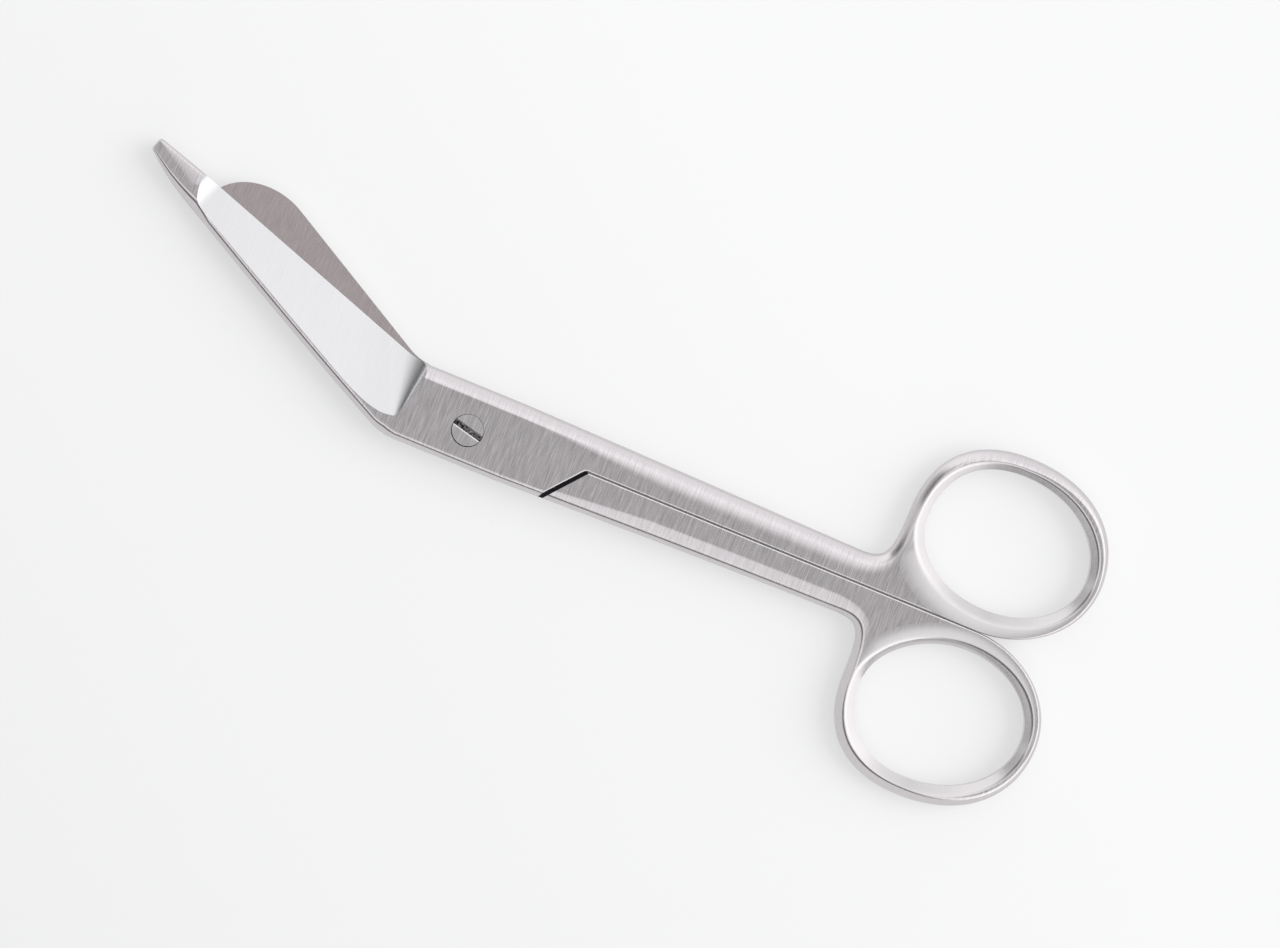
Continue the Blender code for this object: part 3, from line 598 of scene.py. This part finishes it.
def probe_wheel_shape():
    """What the wheel takes off the top of the probe blade."""
    edge_root, shoulder, _, spine_root, spine_shoulder, _ = probe_corners()
    edge_way = heading(PROBE_EDGE_ANGLE)
    spine_way = (spine_shoulder - spine_root).normalized()
    strip = -left_of(spine_way) * (SPINE_RIM[0] * MM + LAND)
    start = Vector((GRIND_X, GRIND_Y))
    bend = spine_root + spine_way * GRIND_BEND + strip
    turn = meet(start, Vector((1, GRIND_DIP)), bend, spine_way)
    near, far = GRIND_HANDLES
    boundary = (curve(start, start.lerp(turn, near), bend.lerp(turn, far), bend, BLADE_STEPS)
                + spread(bend, spine_shoulder + strip - spine_way * GRIND_SHORT, BLADE_STEPS)[1:])
    across = (shoulder - spine_shoulder).normalized()
    first = Vector((-math.sin(GRIND_TURN), math.cos(GRIND_TURN)))
    spine_rail, edge_rail = ground_rails(boundary, edge_root, edge_way, first, across, 1)
    return wheel_shape(spine_rail, edge_rail, edge_way, 1, True)


def turned_shape(profile, centre=Vector((0, 0, 0))):
    """Closed body of revolution about an upright axis, from a profile that runs top to bottom."""
    shape = bmesh.new()
    verts = [shape.verts.new(centre + Vector((radius, 0, height))) for radius, height in profile]
    edges = [shape.edges.new(pair) for pair in zip(verts, verts[1:])]
    bmesh.ops.spin(shape, geom=verts + edges, cent=centre, axis=(0, 0, 1),
                   angle=2 * math.pi, steps=TURNED_STEPS, use_merge=True)
    return shape


# Finishes. Every one is the same satin steel; what differs is the tool that made the surface, but
# for painted shade: the lapped faces darken towards the notch, and the screw's seat and slot are
# near black.

def add_node(tree, kind, sockets=None, **settings):
    """A node with its settings made and its sockets, by name or number, set or linked."""
    node = tree.nodes.new(kind)
    for setting, value in settings.items():
        setattr(node, setting, value)
    for socket, value in (sockets or {}).items():
        if isinstance(value, bpy.types.NodeSocket):
            tree.links.new(value, node.inputs[socket])
        else:
            node.inputs[socket].default_value = value
    return node


def worked_out(tree, operation, *values):
    """Result of a sum on numbers and sockets."""
    return add_node(tree, "ShaderNodeMath", dict(enumerate(values)),
                    operation=operation).outputs[0]


def mapped(tree, value, low, high, at_low, at_high, way="LINEAR"):
    """A value between low and high brought between two others."""
    return add_node(tree, "ShaderNodeMapRange",
                    {"Value": value, "From Min": low, "From Max": high,
                     "To Min": at_low, "To Max": at_high},
                    interpolation_type=way).outputs["Result"]


def brushed_grain():
    """Group: fine lines left by a brush wheel, from object coordinates."""
    group = bpy.data.node_groups.new("brushed_grain", "ShaderNodeTree")
    for name, default in (("Line width", 0.12 * MM), ("Line length", 6 * MM), ("Shift", 0)):
        socket = group.interface.new_socket(name, in_out="INPUT", socket_type="NodeSocketFloat")
        socket.default_value = default
    group.interface.new_socket("Lines", in_out="OUTPUT", socket_type="NodeSocketFloat")
    given = group.nodes.new("NodeGroupInput").outputs
    place = add_node(group, "ShaderNodeSeparateXYZ",
                     {0: group.nodes.new("ShaderNodeTexCoord").outputs["Object"]}).outputs
    sized = add_node(group, "ShaderNodeCombineXYZ",
                     {axis: worked_out(group, "DIVIDE", place[axis], given[size])
                      for axis, size in (("X", "Line width"), ("Y", "Line length"),
                                         ("Z", "Line length"))}).outputs[0]
    moved = add_node(group, "ShaderNodeVectorMath", {0: sized, 1: given["Shift"]},
                     operation="ADD").outputs[0]
    noise = add_node(group, "ShaderNodeTexNoise",
                     {"Vector": moved, "Scale": 1, "Detail": 2, "Roughness": 0.6})
    add_node(group, "NodeGroupOutput", {"Lines": noise.outputs["Fac"]})
    return group


GRAIN = brushed_grain()
BROAD_WIDTH = 2.4
BROAD_LENGTH = 2
BROAD_SHIFT = 7.3
BROAD_SHARE = 0.12
LINES_LOW = 0.3
LINES_HIGH = 0.7
LINE_DEPTH = 0.02 * MM
GLOSS_CHANGE = 0.12
SLOPE_LEVEL = 0.75
FACE_LEVEL = 0.99
SLOPE_CONTRAST = 0.15
# Painted shade: near-black colour that the lapped faces fade into towards the notch, standing in
# for the shade between the plates there.
PAINTED_NOTCH_SHADE = (0.03, 0.03, 0.035, 1)
PAINTED_SHADE_START = NOTCH_X - 1.4 * MM
PAINTED_SHADE_FADE = 0.9 * MM


def brush_lines(tree, width, length, shift):
    return add_node(tree, "ShaderNodeGroup",
                    {"Line width": width, "Line length": length, "Shift": shift},
                    node_tree=GRAIN).outputs["Lines"]


def satin_steel(name, colour, roughness, contrast, relief, line_width, line_length, spread_out,
                shade_from=None):
    """Steel whose brush lines run across the shank; given a start, its faces fade to near black
    towards the notch as painted shade.
    """
    steel = bpy.data.materials.new(name)
    steel.use_nodes = True
    tree = steel.node_tree
    shader = tree.nodes["Principled BSDF"].inputs
    shader["Metallic"].default_value = 1
    shader["Anisotropic"].default_value = spread_out

    fine = brush_lines(tree, line_width, line_length, 0)
    broad = brush_lines(tree, line_width * BROAD_WIDTH, line_length * BROAD_LENGTH, BROAD_SHIFT)
    lines = worked_out(tree, "MULTIPLY_ADD", broad, BROAD_SHARE,
                       worked_out(tree, "MULTIPLY", fine, 1 - BROAD_SHARE))

    tone = mapped(tree, lines, LINES_LOW, LINES_HIGH, 1 - contrast, 1 + contrast)
    upright = add_node(tree, "ShaderNodeSeparateXYZ",
                       {0: tree.nodes.new("ShaderNodeNewGeometry").outputs["Normal"]})
    level = worked_out(tree, "ABSOLUTE", upright.outputs["Z"])
    reached = mapped(tree, level, SLOPE_LEVEL, FACE_LEVEL, SLOPE_CONTRAST, 1)
    worn = add_node(tree, "ShaderNodeMix", {"Factor": reached, "A": 1, "B": tone})
    shade = add_node(tree, "ShaderNodeVectorMath", {0: colour, "Scale": worn.outputs["Result"]},
                     operation="SCALE").outputs[0]
    if shade_from is not None:
        # Painted shade: darker towards the notch along the slant of its end, standing in for the
        # shade in the notch.
        place = add_node(tree, "ShaderNodeSeparateXYZ",
                         {0: tree.nodes.new("ShaderNodeTexCoord").outputs["Object"]}).outputs
        outwards = worked_out(tree, "ABSOLUTE",
                              worked_out(tree, "SUBTRACT", place["Y"], SEAM_Y))
        slanted = worked_out(tree, "MULTIPLY_ADD", outwards, 1 / math.tan(NOTCH_ANGLE),
                             place["X"])
        shade_share = mapped(tree, slanted, shade_from, shade_from + PAINTED_SHADE_FADE, 0, 1)
        shade = add_node(tree, "ShaderNodeMix", {"Factor": shade_share, "A": shade, "B": PAINTED_NOTCH_SHADE},
                         data_type="RGBA").outputs["Result"]
    tree.links.new(shade, shader["Base Color"])

    tree.links.new(mapped(tree, lines, LINES_LOW, LINES_HIGH, roughness * (1 - GLOSS_CHANGE),
                          roughness * (1 + GLOSS_CHANGE)), shader["Roughness"])
    bump = add_node(tree, "ShaderNodeBump",
                    {"Strength": relief, "Distance": LINE_DEPTH, "Height": lines})
    tree.links.new(bump.outputs["Normal"], shader["Normal"])
    along = add_node(tree, "ShaderNodeTangent", direction_type="UV_MAP", uv_map="grain")
    tree.links.new(along.outputs["Tangent"], shader["Tangent"])
    return steel


FORGED = satin_steel("satin_brushed_steel", (0.626, 0.600, 0.614), 0.25, 0.16, 0.008,
                     0.1 * MM, 2.6 * MM, 0.6)
GROUND = satin_steel("ground_blade_steel", (0.632, 0.632, 0.645), 0.25, 0.03, 0.0,
                     0.15 * MM, 4 * MM, 0.3)
# The lapped faces get painted shade towards the notch.
LAPPED = satin_steel("lapped_inner_steel", (0.532, 0.476, 0.476), 0.28, 0.018, 0.0,
                     0.13 * MM, 2.5 * MM, 0.5, PAINTED_SHADE_START)
BORED = satin_steel("bored_hole_steel", (0.618, 0.600, 0.610), 0.24, 0.03, 0.01,
                    0.18 * MM, 2 * MM, 0.2)
# Painted shade: the walls of the screw's seat in the probe half are near black, standing in for the
# shade in the gap round the screw.
PAINTED_SEAT_SHADE = satin_steel("seat_painted_shade", (0.03, 0.027, 0.026), 0.5, 0.03, 0.0,
                    0.18 * MM, 2 * MM, 0.0)

SCREW_HEAD_RADIUS = 2.15 * MM
SCREW_HEAD_HEIGHT = 1.0 * MM
SCREW_STEM_RADIUS = 1.5 * MM
SCREW_GAP = 0.05 * MM
SCREW_BREAK = 0.02 * MM
SEAT_SHIFT = Vector((-0.0175, -0.042, 0)) * MM


def seat_profile():
    """Countersunk seat of the screw, with a broken edge at the top face."""
    head = SCREW_HEAD_RADIUS + SCREW_GAP
    stem = SCREW_STEM_RADIUS + SCREW_GAP
    shoulder = THICKNESS - SCREW_HEAD_HEIGHT - SCREW_GAP
    return [(0, THICKNESS + PAST), (head + SCREW_BREAK + PAST, THICKNESS + PAST),
            (head, THICKNESS - SCREW_BREAK), (head, shoulder),
            (stem, shoulder), (stem, -PAST), (0, -PAST)]


BLUNT_SHANK_MID = 4.93 * MM

blank = rim_shape(probe_outline(BLUNT_SHANK_MID), 0, THICKNESS)
taper(blank)
probe_half = cut("probe_half_steel", solid("probe_blank", blank, FORGED), [
    solid("probe_ring_drift",
          hole_shape(ring_hole(ARM_SEAM, HOLE_SQUARE_SEAM, TOP_HOLE_RIM, WEB_HOLE_RIM)), BORED),
    solid("probe_lap_mill", probe_lap_shape(), LAPPED),
    solid("probe_wheel", probe_wheel_shape(), GROUND),
    solid("screw_counterbore", turned_shape(seat_profile(), SEAT_SHIFT), PAINTED_SEAT_SHADE)])
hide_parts("probe_half")
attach(probe_half, "probe_half")


# Blunt half
# The half beneath: box plate, short round-nosed blade, shank and finger ring. Its plate is tapped
# for the screw, and its flat inner face slides on the probe half like a shear's.

BLUNT_SHANK_END = 4.70 * MM
BLUNT_SPINE_X = -9.6 * MM
BLUNT_SPINE_ANGLE = math.radians(29.2)
BLUNT_LENGTH = 35.0 * MM
BLUNT_NOSE_LENGTH = 9.2 * MM
BLUNT_NOSE_SQUARE = 0.53
BLUNT_EDGE_ANGLE = math.radians(31.6)
BLUNT_EDGE_RADIUS = 1.2 * MM
BLUNT_HOLE_SQUARE = 0.51
BLUNT_ARM_SEAM = 2.85 * MM
BLUNT_SHANK_RIM = Vector((0.74, 1.05, 1.72, 0.145, 0.55, 1.05))
BLUNT_BOX_RIM = Vector((0.74, 1.05, 0.4, 0.03, 0.55, 1.5))
BLUNT_TOP_RIM = Vector((1.3, 1.1, 0.2, 0.015, 0, 2))
BLUNT_WEB_RIM = Vector((0.9, 1.1, 2.0, 0.17, 0.2, 2))
BLUNT_RING_RIM = Vector((1.1, 1.6, 0.2, 0.02, 0, 2))


def mirrored(runs):
    """The runs on the other side of the seam, still counter-clockwise."""
    flipped = []
    for points, rim, end_rim in reversed(runs):
        crossed = [Vector((point.x, 2 * SEAM_Y - point.y)) for point in reversed(points)]
        flipped.append((crossed, end_rim, rim))
    return flipped


def blunt_corners():
    """Root and nose of the blunt blade's spine, middle of the nose, nose and root of its edge."""
    spine_way = heading(BLUNT_SPINE_ANGLE)
    inward = left_of(spine_way)
    spine_root = Vector((BLUNT_SPINE_X, BOX_UPPER))
    spine_nose = spine_root + spine_way * BLUNT_LENGTH
    edge_root = Vector((LOWER_BEND_X, -BOX_LOWER))
    edge_nose = meet(spine_nose, inward, edge_root, heading(BLUNT_EDGE_ANGLE))
    return spine_root, spine_nose, edge_nose - inward * BLUNT_EDGE_RADIUS, edge_nose, edge_root


def blunt_outline():
    """Outline of the blunt half, counter-clockwise from the box."""
    spine_root, spine_nose, nose, edge_nose, edge_root = blunt_corners()
    nose_start = spine_nose - heading(BLUNT_SPINE_ANGLE) * BLUNT_NOSE_LENGTH
    heel = fillet(Vector((0, BOX_UPPER)), spine_root, spine_nose, HEEL_RADIUS)
    nose_round = quarter(nose_start, spine_nose, nose, BLUNT_NOSE_SQUARE, 3 * BEND_STEPS)
    edge_round = fillet(nose, edge_nose, edge_root, BLUNT_EDGE_RADIUS)
    root = fillet(edge_nose, edge_root, Vector((0, -BOX_LOWER)), HEEL_RADIUS)
    handle = (notch_runs(BOX_UPPER - SEAM_Y, PROBE_SHANK_MID, PROBE_BOX_RIM)
              + handle_runs(BOX_LOWER + SEAM_Y, BLUNT_SHANK_MID, BLUNT_SHANK_END, BLUNT_BOX_RIM,
                            BLUNT_SHANK_RIM, BLUNT_RING_RIM))
    return (mirrored(handle)
            + [run([Vector((BOX_FLAT, BOX_UPPER)), heel[0]], PROBE_BOX_RIM),
               run(heel, PROBE_BOX_RIM, SPINE_RIM),
               run([heel[-1], nose_start], SPINE_RIM),
               run(nose_round, SPINE_RIM),
               run([nose, edge_round[0]], SPINE_RIM, SHARP),
               run(edge_round, SHARP),
               run([edge_round[-1], root[0]], SHARP),
               run(root, SHARP, BLUNT_BOX_RIM),
               run([root[-1], Vector((BOX_FLAT, -BOX_LOWER))], BLUNT_BOX_RIM)])


def blunt_lap_shape():
    """What the blunt half's plate and blade leave free for the other half."""
    seam, outer = lap_edge(-1)
    far = TIP_X - PAST
    points = [seam, Vector((seam.x, -far)), Vector((far, -far)), Vector((far, outer.y)), outer]
    return rim_shape([run(points + points[:1], SHARP)], LAP_Z - LAP_GAP / 2, THICKNESS + PAST)


def blunt_wheel_shape():
    """What the wheel takes off the underside of the blunt blade."""
    spine_root, spine_nose, _, _, edge_root = blunt_corners()
    spine_way = heading(BLUNT_SPINE_ANGLE)
    inward = left_of(spine_way)
    strip = inward * (SPINE_RIM[0] * MM + LAND)
    start = meet(spine_root + strip, spine_way, Vector((GRIND_X, 0)), Vector((0, 1)))
    boundary = spread(start, spine_nose + strip + spine_way * PAST, BLADE_STEPS)
    spine_rail, edge_rail = ground_rails(boundary, edge_root, heading(BLUNT_EDGE_ANGLE),
                                         Vector((0, -1)), inward, -1)
    return wheel_shape(spine_rail, edge_rail, spine_way, -1, False)


def tapped_profile():
    """Plain hole in place of the thread."""
    stem = SCREW_STEM_RADIUS + SCREW_GAP
    return [(0, THICKNESS), (stem, THICKNESS), (stem, -PAST), (0, -PAST)]


blank = rim_shape(blunt_outline(), 0, THICKNESS)
taper(blank)
blunt_half = cut("blunt_half_steel", solid("blunt_blank", blank, FORGED), [
    solid("blunt_ring_drift",
          hole_shape(mirrored(ring_hole(BLUNT_ARM_SEAM, BLUNT_HOLE_SQUARE, BLUNT_TOP_RIM,
                                        BLUNT_WEB_RIM))), BORED),
    solid("blunt_lap_mill", blunt_lap_shape(), LAPPED),
    solid("blunt_wheel", blunt_wheel_shape(), GROUND),
    solid("screw_tap", turned_shape(tapped_profile()), BORED)])
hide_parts("blunt_half")
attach(blunt_half, "blunt_half")


# Pivot screw
# Slotted screw turned from steel bar. Its head is ground flush with the box, it is tightened until
# the blades close sweetly, and its end is filed off level beneath.

SLOT_WIDTH = 0.66 * MM
SLOT_DEPTH = 0.6 * MM
SLOT_ANGLE = math.radians(-13.6)
SLOT_BREAK = 0.16 * MM
SLOT_FLARE = 0.45
SAW_LENGTH = 4
SAW_MARGIN = 0.01 * MM

TURNED = satin_steel("turned_screw_steel", (0.645, 0.63, 0.635), 0.25, 0.12, 0.01,
                     0.12 * MM, 3 * MM, 0.5)
# Painted shade: the slot's walls and floor are near black, standing in for the shade inside the
# narrow slot.
PAINTED_SLOT_SHADE = satin_steel("slot_painted_shade", (0.15, 0.137, 0.135), 0.45, 2.2, 0.3,
                   0.3 * MM, 0.3 * MM, 0.0)


def screw_tree():
    """Nodes that turn a headed screw from its sizes and saw a slot with broken edges across it."""
    tree = bpy.data.node_groups.new("turned_screw", "GeometryNodeTree")
    for name in ("Head radius", "Head height", "Stem radius", "Length", "Edge break",
                 "Slot width", "Slot depth", "Slot break", "Slot angle"):
        tree.interface.new_socket(name, in_out="INPUT", socket_type="NodeSocketFloat")
    for name in ("Turned", "Slot shade"):
        tree.interface.new_socket(name, in_out="INPUT", socket_type="NodeSocketMaterial")
    tree.interface.new_socket("Screw", in_out="OUTPUT", socket_type="NodeSocketGeometry")
    given = tree.nodes.new("NodeGroupInput").outputs

    def maths(operation, *values):
        return worked_out(tree, operation, *values)

    def vector(*values):
        return add_node(tree, "ShaderNodeCombineXYZ", dict(enumerate(values))).outputs[0]

    def pick(index, values):
        node = add_node(tree, "GeometryNodeIndexSwitch", {"Index": index}, data_type="FLOAT")
        while len(node.index_switch_items) < len(values):
            node.index_switch_items.new()
        for number, value in enumerate(values):
            if isinstance(value, bpy.types.NodeSocket):
                tree.links.new(value, node.inputs[number + 1])
            else:
                node.inputs[number + 1].default_value = value
        return node.outputs[0]

    head, stem, length, edge = (given["Head radius"], given["Stem radius"], given["Length"],
                                given["Edge break"])
    under = maths("SUBTRACT", length, given["Head height"])
    radii = (0.0, maths("SUBTRACT", head, edge), head, head, stem, stem,
             maths("SUBTRACT", stem, edge), 0.0)
    heights = (length, length, maths("SUBTRACT", length, edge), under, under, edge, 0.0, 0.0)

    grid = add_node(tree, "GeometryNodeMeshGrid",
                    {"Vertices X": len(radii), "Vertices Y": TURNED_STEPS + 1})
    index = tree.nodes.new("GeometryNodeInputIndex").outputs[0]
    row = maths("FLOOR", maths("DIVIDE", maths("ADD", index, 0.5), TURNED_STEPS + 1))
    column = maths("SUBTRACT", index, maths("MULTIPLY", row, TURNED_STEPS + 1))
    turn = maths("MULTIPLY", column, 2 * math.pi / TURNED_STEPS)
    radius = pick(row, radii)
    spun = vector(maths("MULTIPLY", radius, maths("COSINE", turn)),
                  maths("MULTIPLY", radius, maths("SINE", turn)), pick(row, heights))
    lathe = add_node(tree, "GeometryNodeSetPosition",
                     {"Geometry": grid.outputs["Mesh"], "Position": spun})
    turned_bar = add_node(tree, "GeometryNodeMergeByDistance",
                          {"Geometry": lathe.outputs[0], "Distance": SEAM_MERGE})

    def saw(width, depth, lift, roll, squash):
        blade = add_node(tree, "GeometryNodeMeshCube",
                         {"Size": vector(maths("MULTIPLY", head, SAW_LENGTH), width, depth)})
        rolled = add_node(tree, "GeometryNodeTransform",
                          {"Geometry": blade.outputs[0], "Rotation": (roll, 0, 0)})
        return add_node(tree, "GeometryNodeTransform",
                        {"Geometry": rolled.outputs[0],
                         "Translation": vector(0, 0, maths("ADD", length, lift)),
                         "Rotation": vector(0, 0, given["Slot angle"]),
                         "Scale": (1, 1, squash)}).outputs[0]

    half_width = maths("MULTIPLY", given["Slot width"], 0.5)
    mouth = maths("ADD", half_width, given["Slot break"])
    side = maths("MULTIPLY", mouth, 2 * math.sqrt(2))
    sawn = add_node(tree, "GeometryNodeMeshBoolean", {"Mesh 1": turned_bar.outputs[0]},
                    operation="DIFFERENCE", solver="EXACT")
    for cutter in (saw(given["Slot width"], maths("MULTIPLY", given["Slot depth"], 2), 0, 0, 1),
                   saw(side, side, maths("MULTIPLY", mouth, SLOT_FLARE), math.pi / 4,
                       SLOT_FLARE)):
        tree.links.new(cutter, sawn.inputs["Mesh 2"])

    spot = add_node(tree, "ShaderNodeSeparateXYZ",
                    {0: tree.nodes.new("GeometryNodeInputPosition").outputs[0]}).outputs
    aside = maths("ABSOLUTE", maths("SUBTRACT",
                                    maths("MULTIPLY", spot[1],
                                          maths("COSINE", given["Slot angle"])),
                                    maths("MULTIPLY", spot[0],
                                          maths("SINE", given["Slot angle"]))))
    floor = maths("SUBTRACT", maths("SUBTRACT", length, given["Slot depth"]), SAW_MARGIN)
    within = maths("MULTIPLY",
                   maths("LESS_THAN", aside, maths("ADD", half_width, SAW_MARGIN / 2)),
                   maths("MULTIPLY", maths("GREATER_THAN", spot[2], floor),
                         maths("LESS_THAN", spot[2], maths("SUBTRACT", length, SAW_MARGIN))))
    realized = add_node(tree, "GeometryNodeRealizeInstances",
                        {"Geometry": sawn.outputs["Mesh"]})
    bar_steel = add_node(tree, "GeometryNodeSetMaterial",
                         {"Geometry": realized.outputs[0], "Material": given["Turned"]})
    # The slot's walls and floor take the near-black painted shade.
    slot_steel = add_node(tree, "GeometryNodeSetMaterial",
                          {"Geometry": bar_steel.outputs[0], "Selection": within,
                           "Material": given["Slot shade"]})
    add_node(tree, "NodeGroupOutput", {0: slot_steel.outputs[0]})
    return tree


bar = bpy.data.objects.new("screw_bar", bpy.data.meshes.new("screw_bar"))
bpy.context.scene.collection.objects.link(bar)
turning = bar.modifiers.new("turning", "NODES")
turning.node_group = screw_tree()
screw_sizes = {"Head radius": SCREW_HEAD_RADIUS, "Head height": SCREW_HEAD_HEIGHT,
               "Stem radius": SCREW_STEM_RADIUS, "Length": THICKNESS, "Edge break": SCREW_BREAK,
               "Slot width": SLOT_WIDTH, "Slot depth": SLOT_DEPTH, "Slot break": SLOT_BREAK,
               "Slot angle": SLOT_ANGLE, "Turned": TURNED, "Slot shade": PAINTED_SLOT_SHADE}
for socket in turning.node_group.interface.items_tree:
    if socket.name in screw_sizes:
        turning[socket.identifier] = screw_sizes[socket.name]
bpy.context.view_layer.update()
seen = bar.evaluated_get(bpy.context.evaluated_depsgraph_get())
screw_mesh = bpy.data.meshes.new_from_object(seen)
screw_mesh.name = "pivot_screw_steel"
bpy.data.objects.remove(bar)
turned = bmesh.new()
turned.from_mesh(screw_mesh)
bmesh.ops.recalc_face_normals(turned, faces=turned.faces)
turned.to_mesh(screw_mesh)
turned.free()
pivot_screw = dressed("pivot_screw_steel", screw_mesh)
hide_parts("pivot_screw")
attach(pivot_screw, "blunt_half")


# Table, light and camera
# A matt table top that also glows white, its glow a little brighter towards +X and +Y as painted
# light, and a plain studio round it: pale all over, brighter at its two ends, and dim in a slot
# overhead where the camera hangs, low on the far side and opposite the window.

TABLE_SIZE = 3.0
TABLE_DROP = 0.05 * MM
table_mesh = bpy.data.meshes.new("table_top")
half_side = TABLE_SIZE / 2
table_mesh.from_pydata([(-half_side, -half_side, 0), (half_side, -half_side, 0),
                        (half_side, half_side, 0), (-half_side, half_side, 0)], [],
                       [(0, 1, 2, 3)])
table = bpy.data.objects.new("table_top", table_mesh)
bpy.context.scene.collection.objects.link(table)
table.location.z = -TABLE_DROP
matt_white = bpy.data.materials.new("matt_white")
matt_white.use_nodes = True
paint = matt_white.node_tree.nodes["Principled BSDF"].inputs
paint["Base Color"].default_value = (0.25, 0.252, 0.254, 1)
paint["Roughness"].default_value = 0.9
paint["Specular IOR Level"].default_value = 0
paint["Emission Color"].default_value = (1, 1, 1, 1)
table_place = matt_white.node_tree.nodes.new("ShaderNodeTexCoord")
painted_light_across = add_node(matt_white.node_tree, "ShaderNodeVectorMath",
                        {0: table_place.outputs["Object"], 1: (0.6, 0.8, 0)},
                        operation="DOT_PRODUCT").outputs["Value"]
# Painted light: the table's glow rises towards +X and +Y, standing in for light falling off across
# the table.
matt_white.node_tree.links.new(mapped(matt_white.node_tree, painted_light_across, -0.09, 0.05,
                                      0.497, 0.577), paint["Emission Strength"])
table_mesh.materials.append(matt_white)

studio = bpy.data.worlds.new("studio")
bpy.context.scene.world = studio
studio.use_nodes = True
sky = studio.node_tree
sky_place = sky.nodes.new("ShaderNodeTexCoord").outputs["Generated"]


def towards(x, y, z):
    """How far a direction of the sky lies towards the given one, from -1 to 1."""
    return add_node(sky, "ShaderNodeVectorMath", {0: sky_place, 1: Vector((x, y, z)).normalized()},
                    operation="DOT_PRODUCT").outputs["Value"]


def ramp(value, low, high, at_low, at_high):
    """Smooth step from one level to another."""
    return mapped(sky, value, low, high, at_low, at_high, "SMOOTHSTEP")


def times(*levels):
    product = levels[0]
    for level in levels[1:]:
        product = worked_out(sky, "MULTIPLY", product, level)
    return product


def blended(share, first, second):
    return add_node(sky, "ShaderNodeMix",
                    {"Factor": share, "A": first, "B": second}).outputs["Result"]


# Brightness from the -Y horizon over the zenith to the +Y horizon
SKY_LEVELS = ((-1.0, 1.18), (-0.168, 1.18), (-0.12, 1.08), (-0.05, 0.41), (0.04, 0.33),
              (0.09, 0.52), (0.14, 0.86), (0.19, 1.20), (0.25, 1.42), (0.42, 1.38),
              (0.7, 1.22), (1.0, 1.15))
TOP_LEVEL = 1.5
levels = add_node(sky, "ShaderNodeValToRGB", {"Fac": mapped(sky, towards(0, 1, 0), -1, 1, 0, 1)})
stops = levels.color_ramp.elements
for number, (y, level) in enumerate(SKY_LEVELS):
    share = (y + 1) / 2
    stop = stops[number] if number < 2 else stops.new(share)
    stop.position = share
    stop.color = (level / TOP_LEVEL,) * 3 + (1,)
overhead = worked_out(sky, "MULTIPLY", levels.outputs["Color"], TOP_LEVEL)

ends = worked_out(sky, "MAXIMUM", ramp(towards(1, 0, 0), 0.24, 0.62, 0, 1),
                  ramp(towards(-1, 0, 0), 0.25, 0.5, 0, 1))
end_level = ramp(towards(1, 0, 0), -0.3, 0.3, 1.3, 1.6)
corner_dim = ramp(towards(-0.55, -0.835, 0), 0.42, 0.68, 1, 0.14)
below = ramp(towards(0, 0, 1), 0.02, 0.28, 0.9, 0)
far_side = times(ramp(towards(0, 1, 0), -0.02, 0.14, 0, 1),
                 ramp(towards(0, 1, 0), 0.42, 0.62, 1, 0),
                 ramp(towards(0, 0, 1), 0.08, 0.27, 0, 1))
far_dim = mapped(sky, towards(1, 0, 0), -0.9, -0.12, 0.04, 1)
from_camera = worked_out(sky, "ABSOLUTE", worked_out(sky, "SUBTRACT", towards(1, 0, 0), 0.015))
camera_dim = mapped(sky, from_camera, 0, 0.12, 0.86, 1.03)
background = sky.nodes["Background"].inputs
background["Color"].default_value = (1, 0.995, 1, 1)
sky.links.new(times(blended(ends, overhead, end_level),
                    worked_out(sky, "MAXIMUM", corner_dim, below),
                    blended(far_side, 1, far_dim), camera_dim), background["Strength"])

# The window's own light, seen by the matt table only
window = bpy.data.lights.new("window", "SUN")
window.energy = 2.5
window.angle = math.radians(50)
window_light = bpy.data.objects.new("window", window)
bpy.context.scene.collection.objects.link(window_light)
window_light.visible_glossy = False
window_light.rotation_euler = Vector((0.76, 0.34, 0.56)).to_track_quat("Z", "Y").to_euler()

PHOTO_PLANE = LAP_Z
CAMERA_X = 23.55 * MM
CAMERA_Y = 3.33 * MM
CAMERA_HEIGHT = 600 * MM
CAMERA_TURN = math.radians(22.29)
VIEW_WIDTH = 172.03 * MM
camera_data = bpy.data.cameras.new("camera")
camera_data.sensor_width = 36
camera_data.lens = camera_data.sensor_width * CAMERA_HEIGHT / VIEW_WIDTH
camera_data.clip_start = 0.01
camera = bpy.data.objects.new("camera", camera_data)
bpy.context.scene.collection.objects.link(camera)
camera.location = (CAMERA_X, CAMERA_Y, PHOTO_PLANE + CAMERA_HEIGHT)
camera.rotation_euler = (0, 0, CAMERA_TURN)
bpy.context.scene.camera = camera

bpy.context.scene.view_settings.view_transform = "Standard"
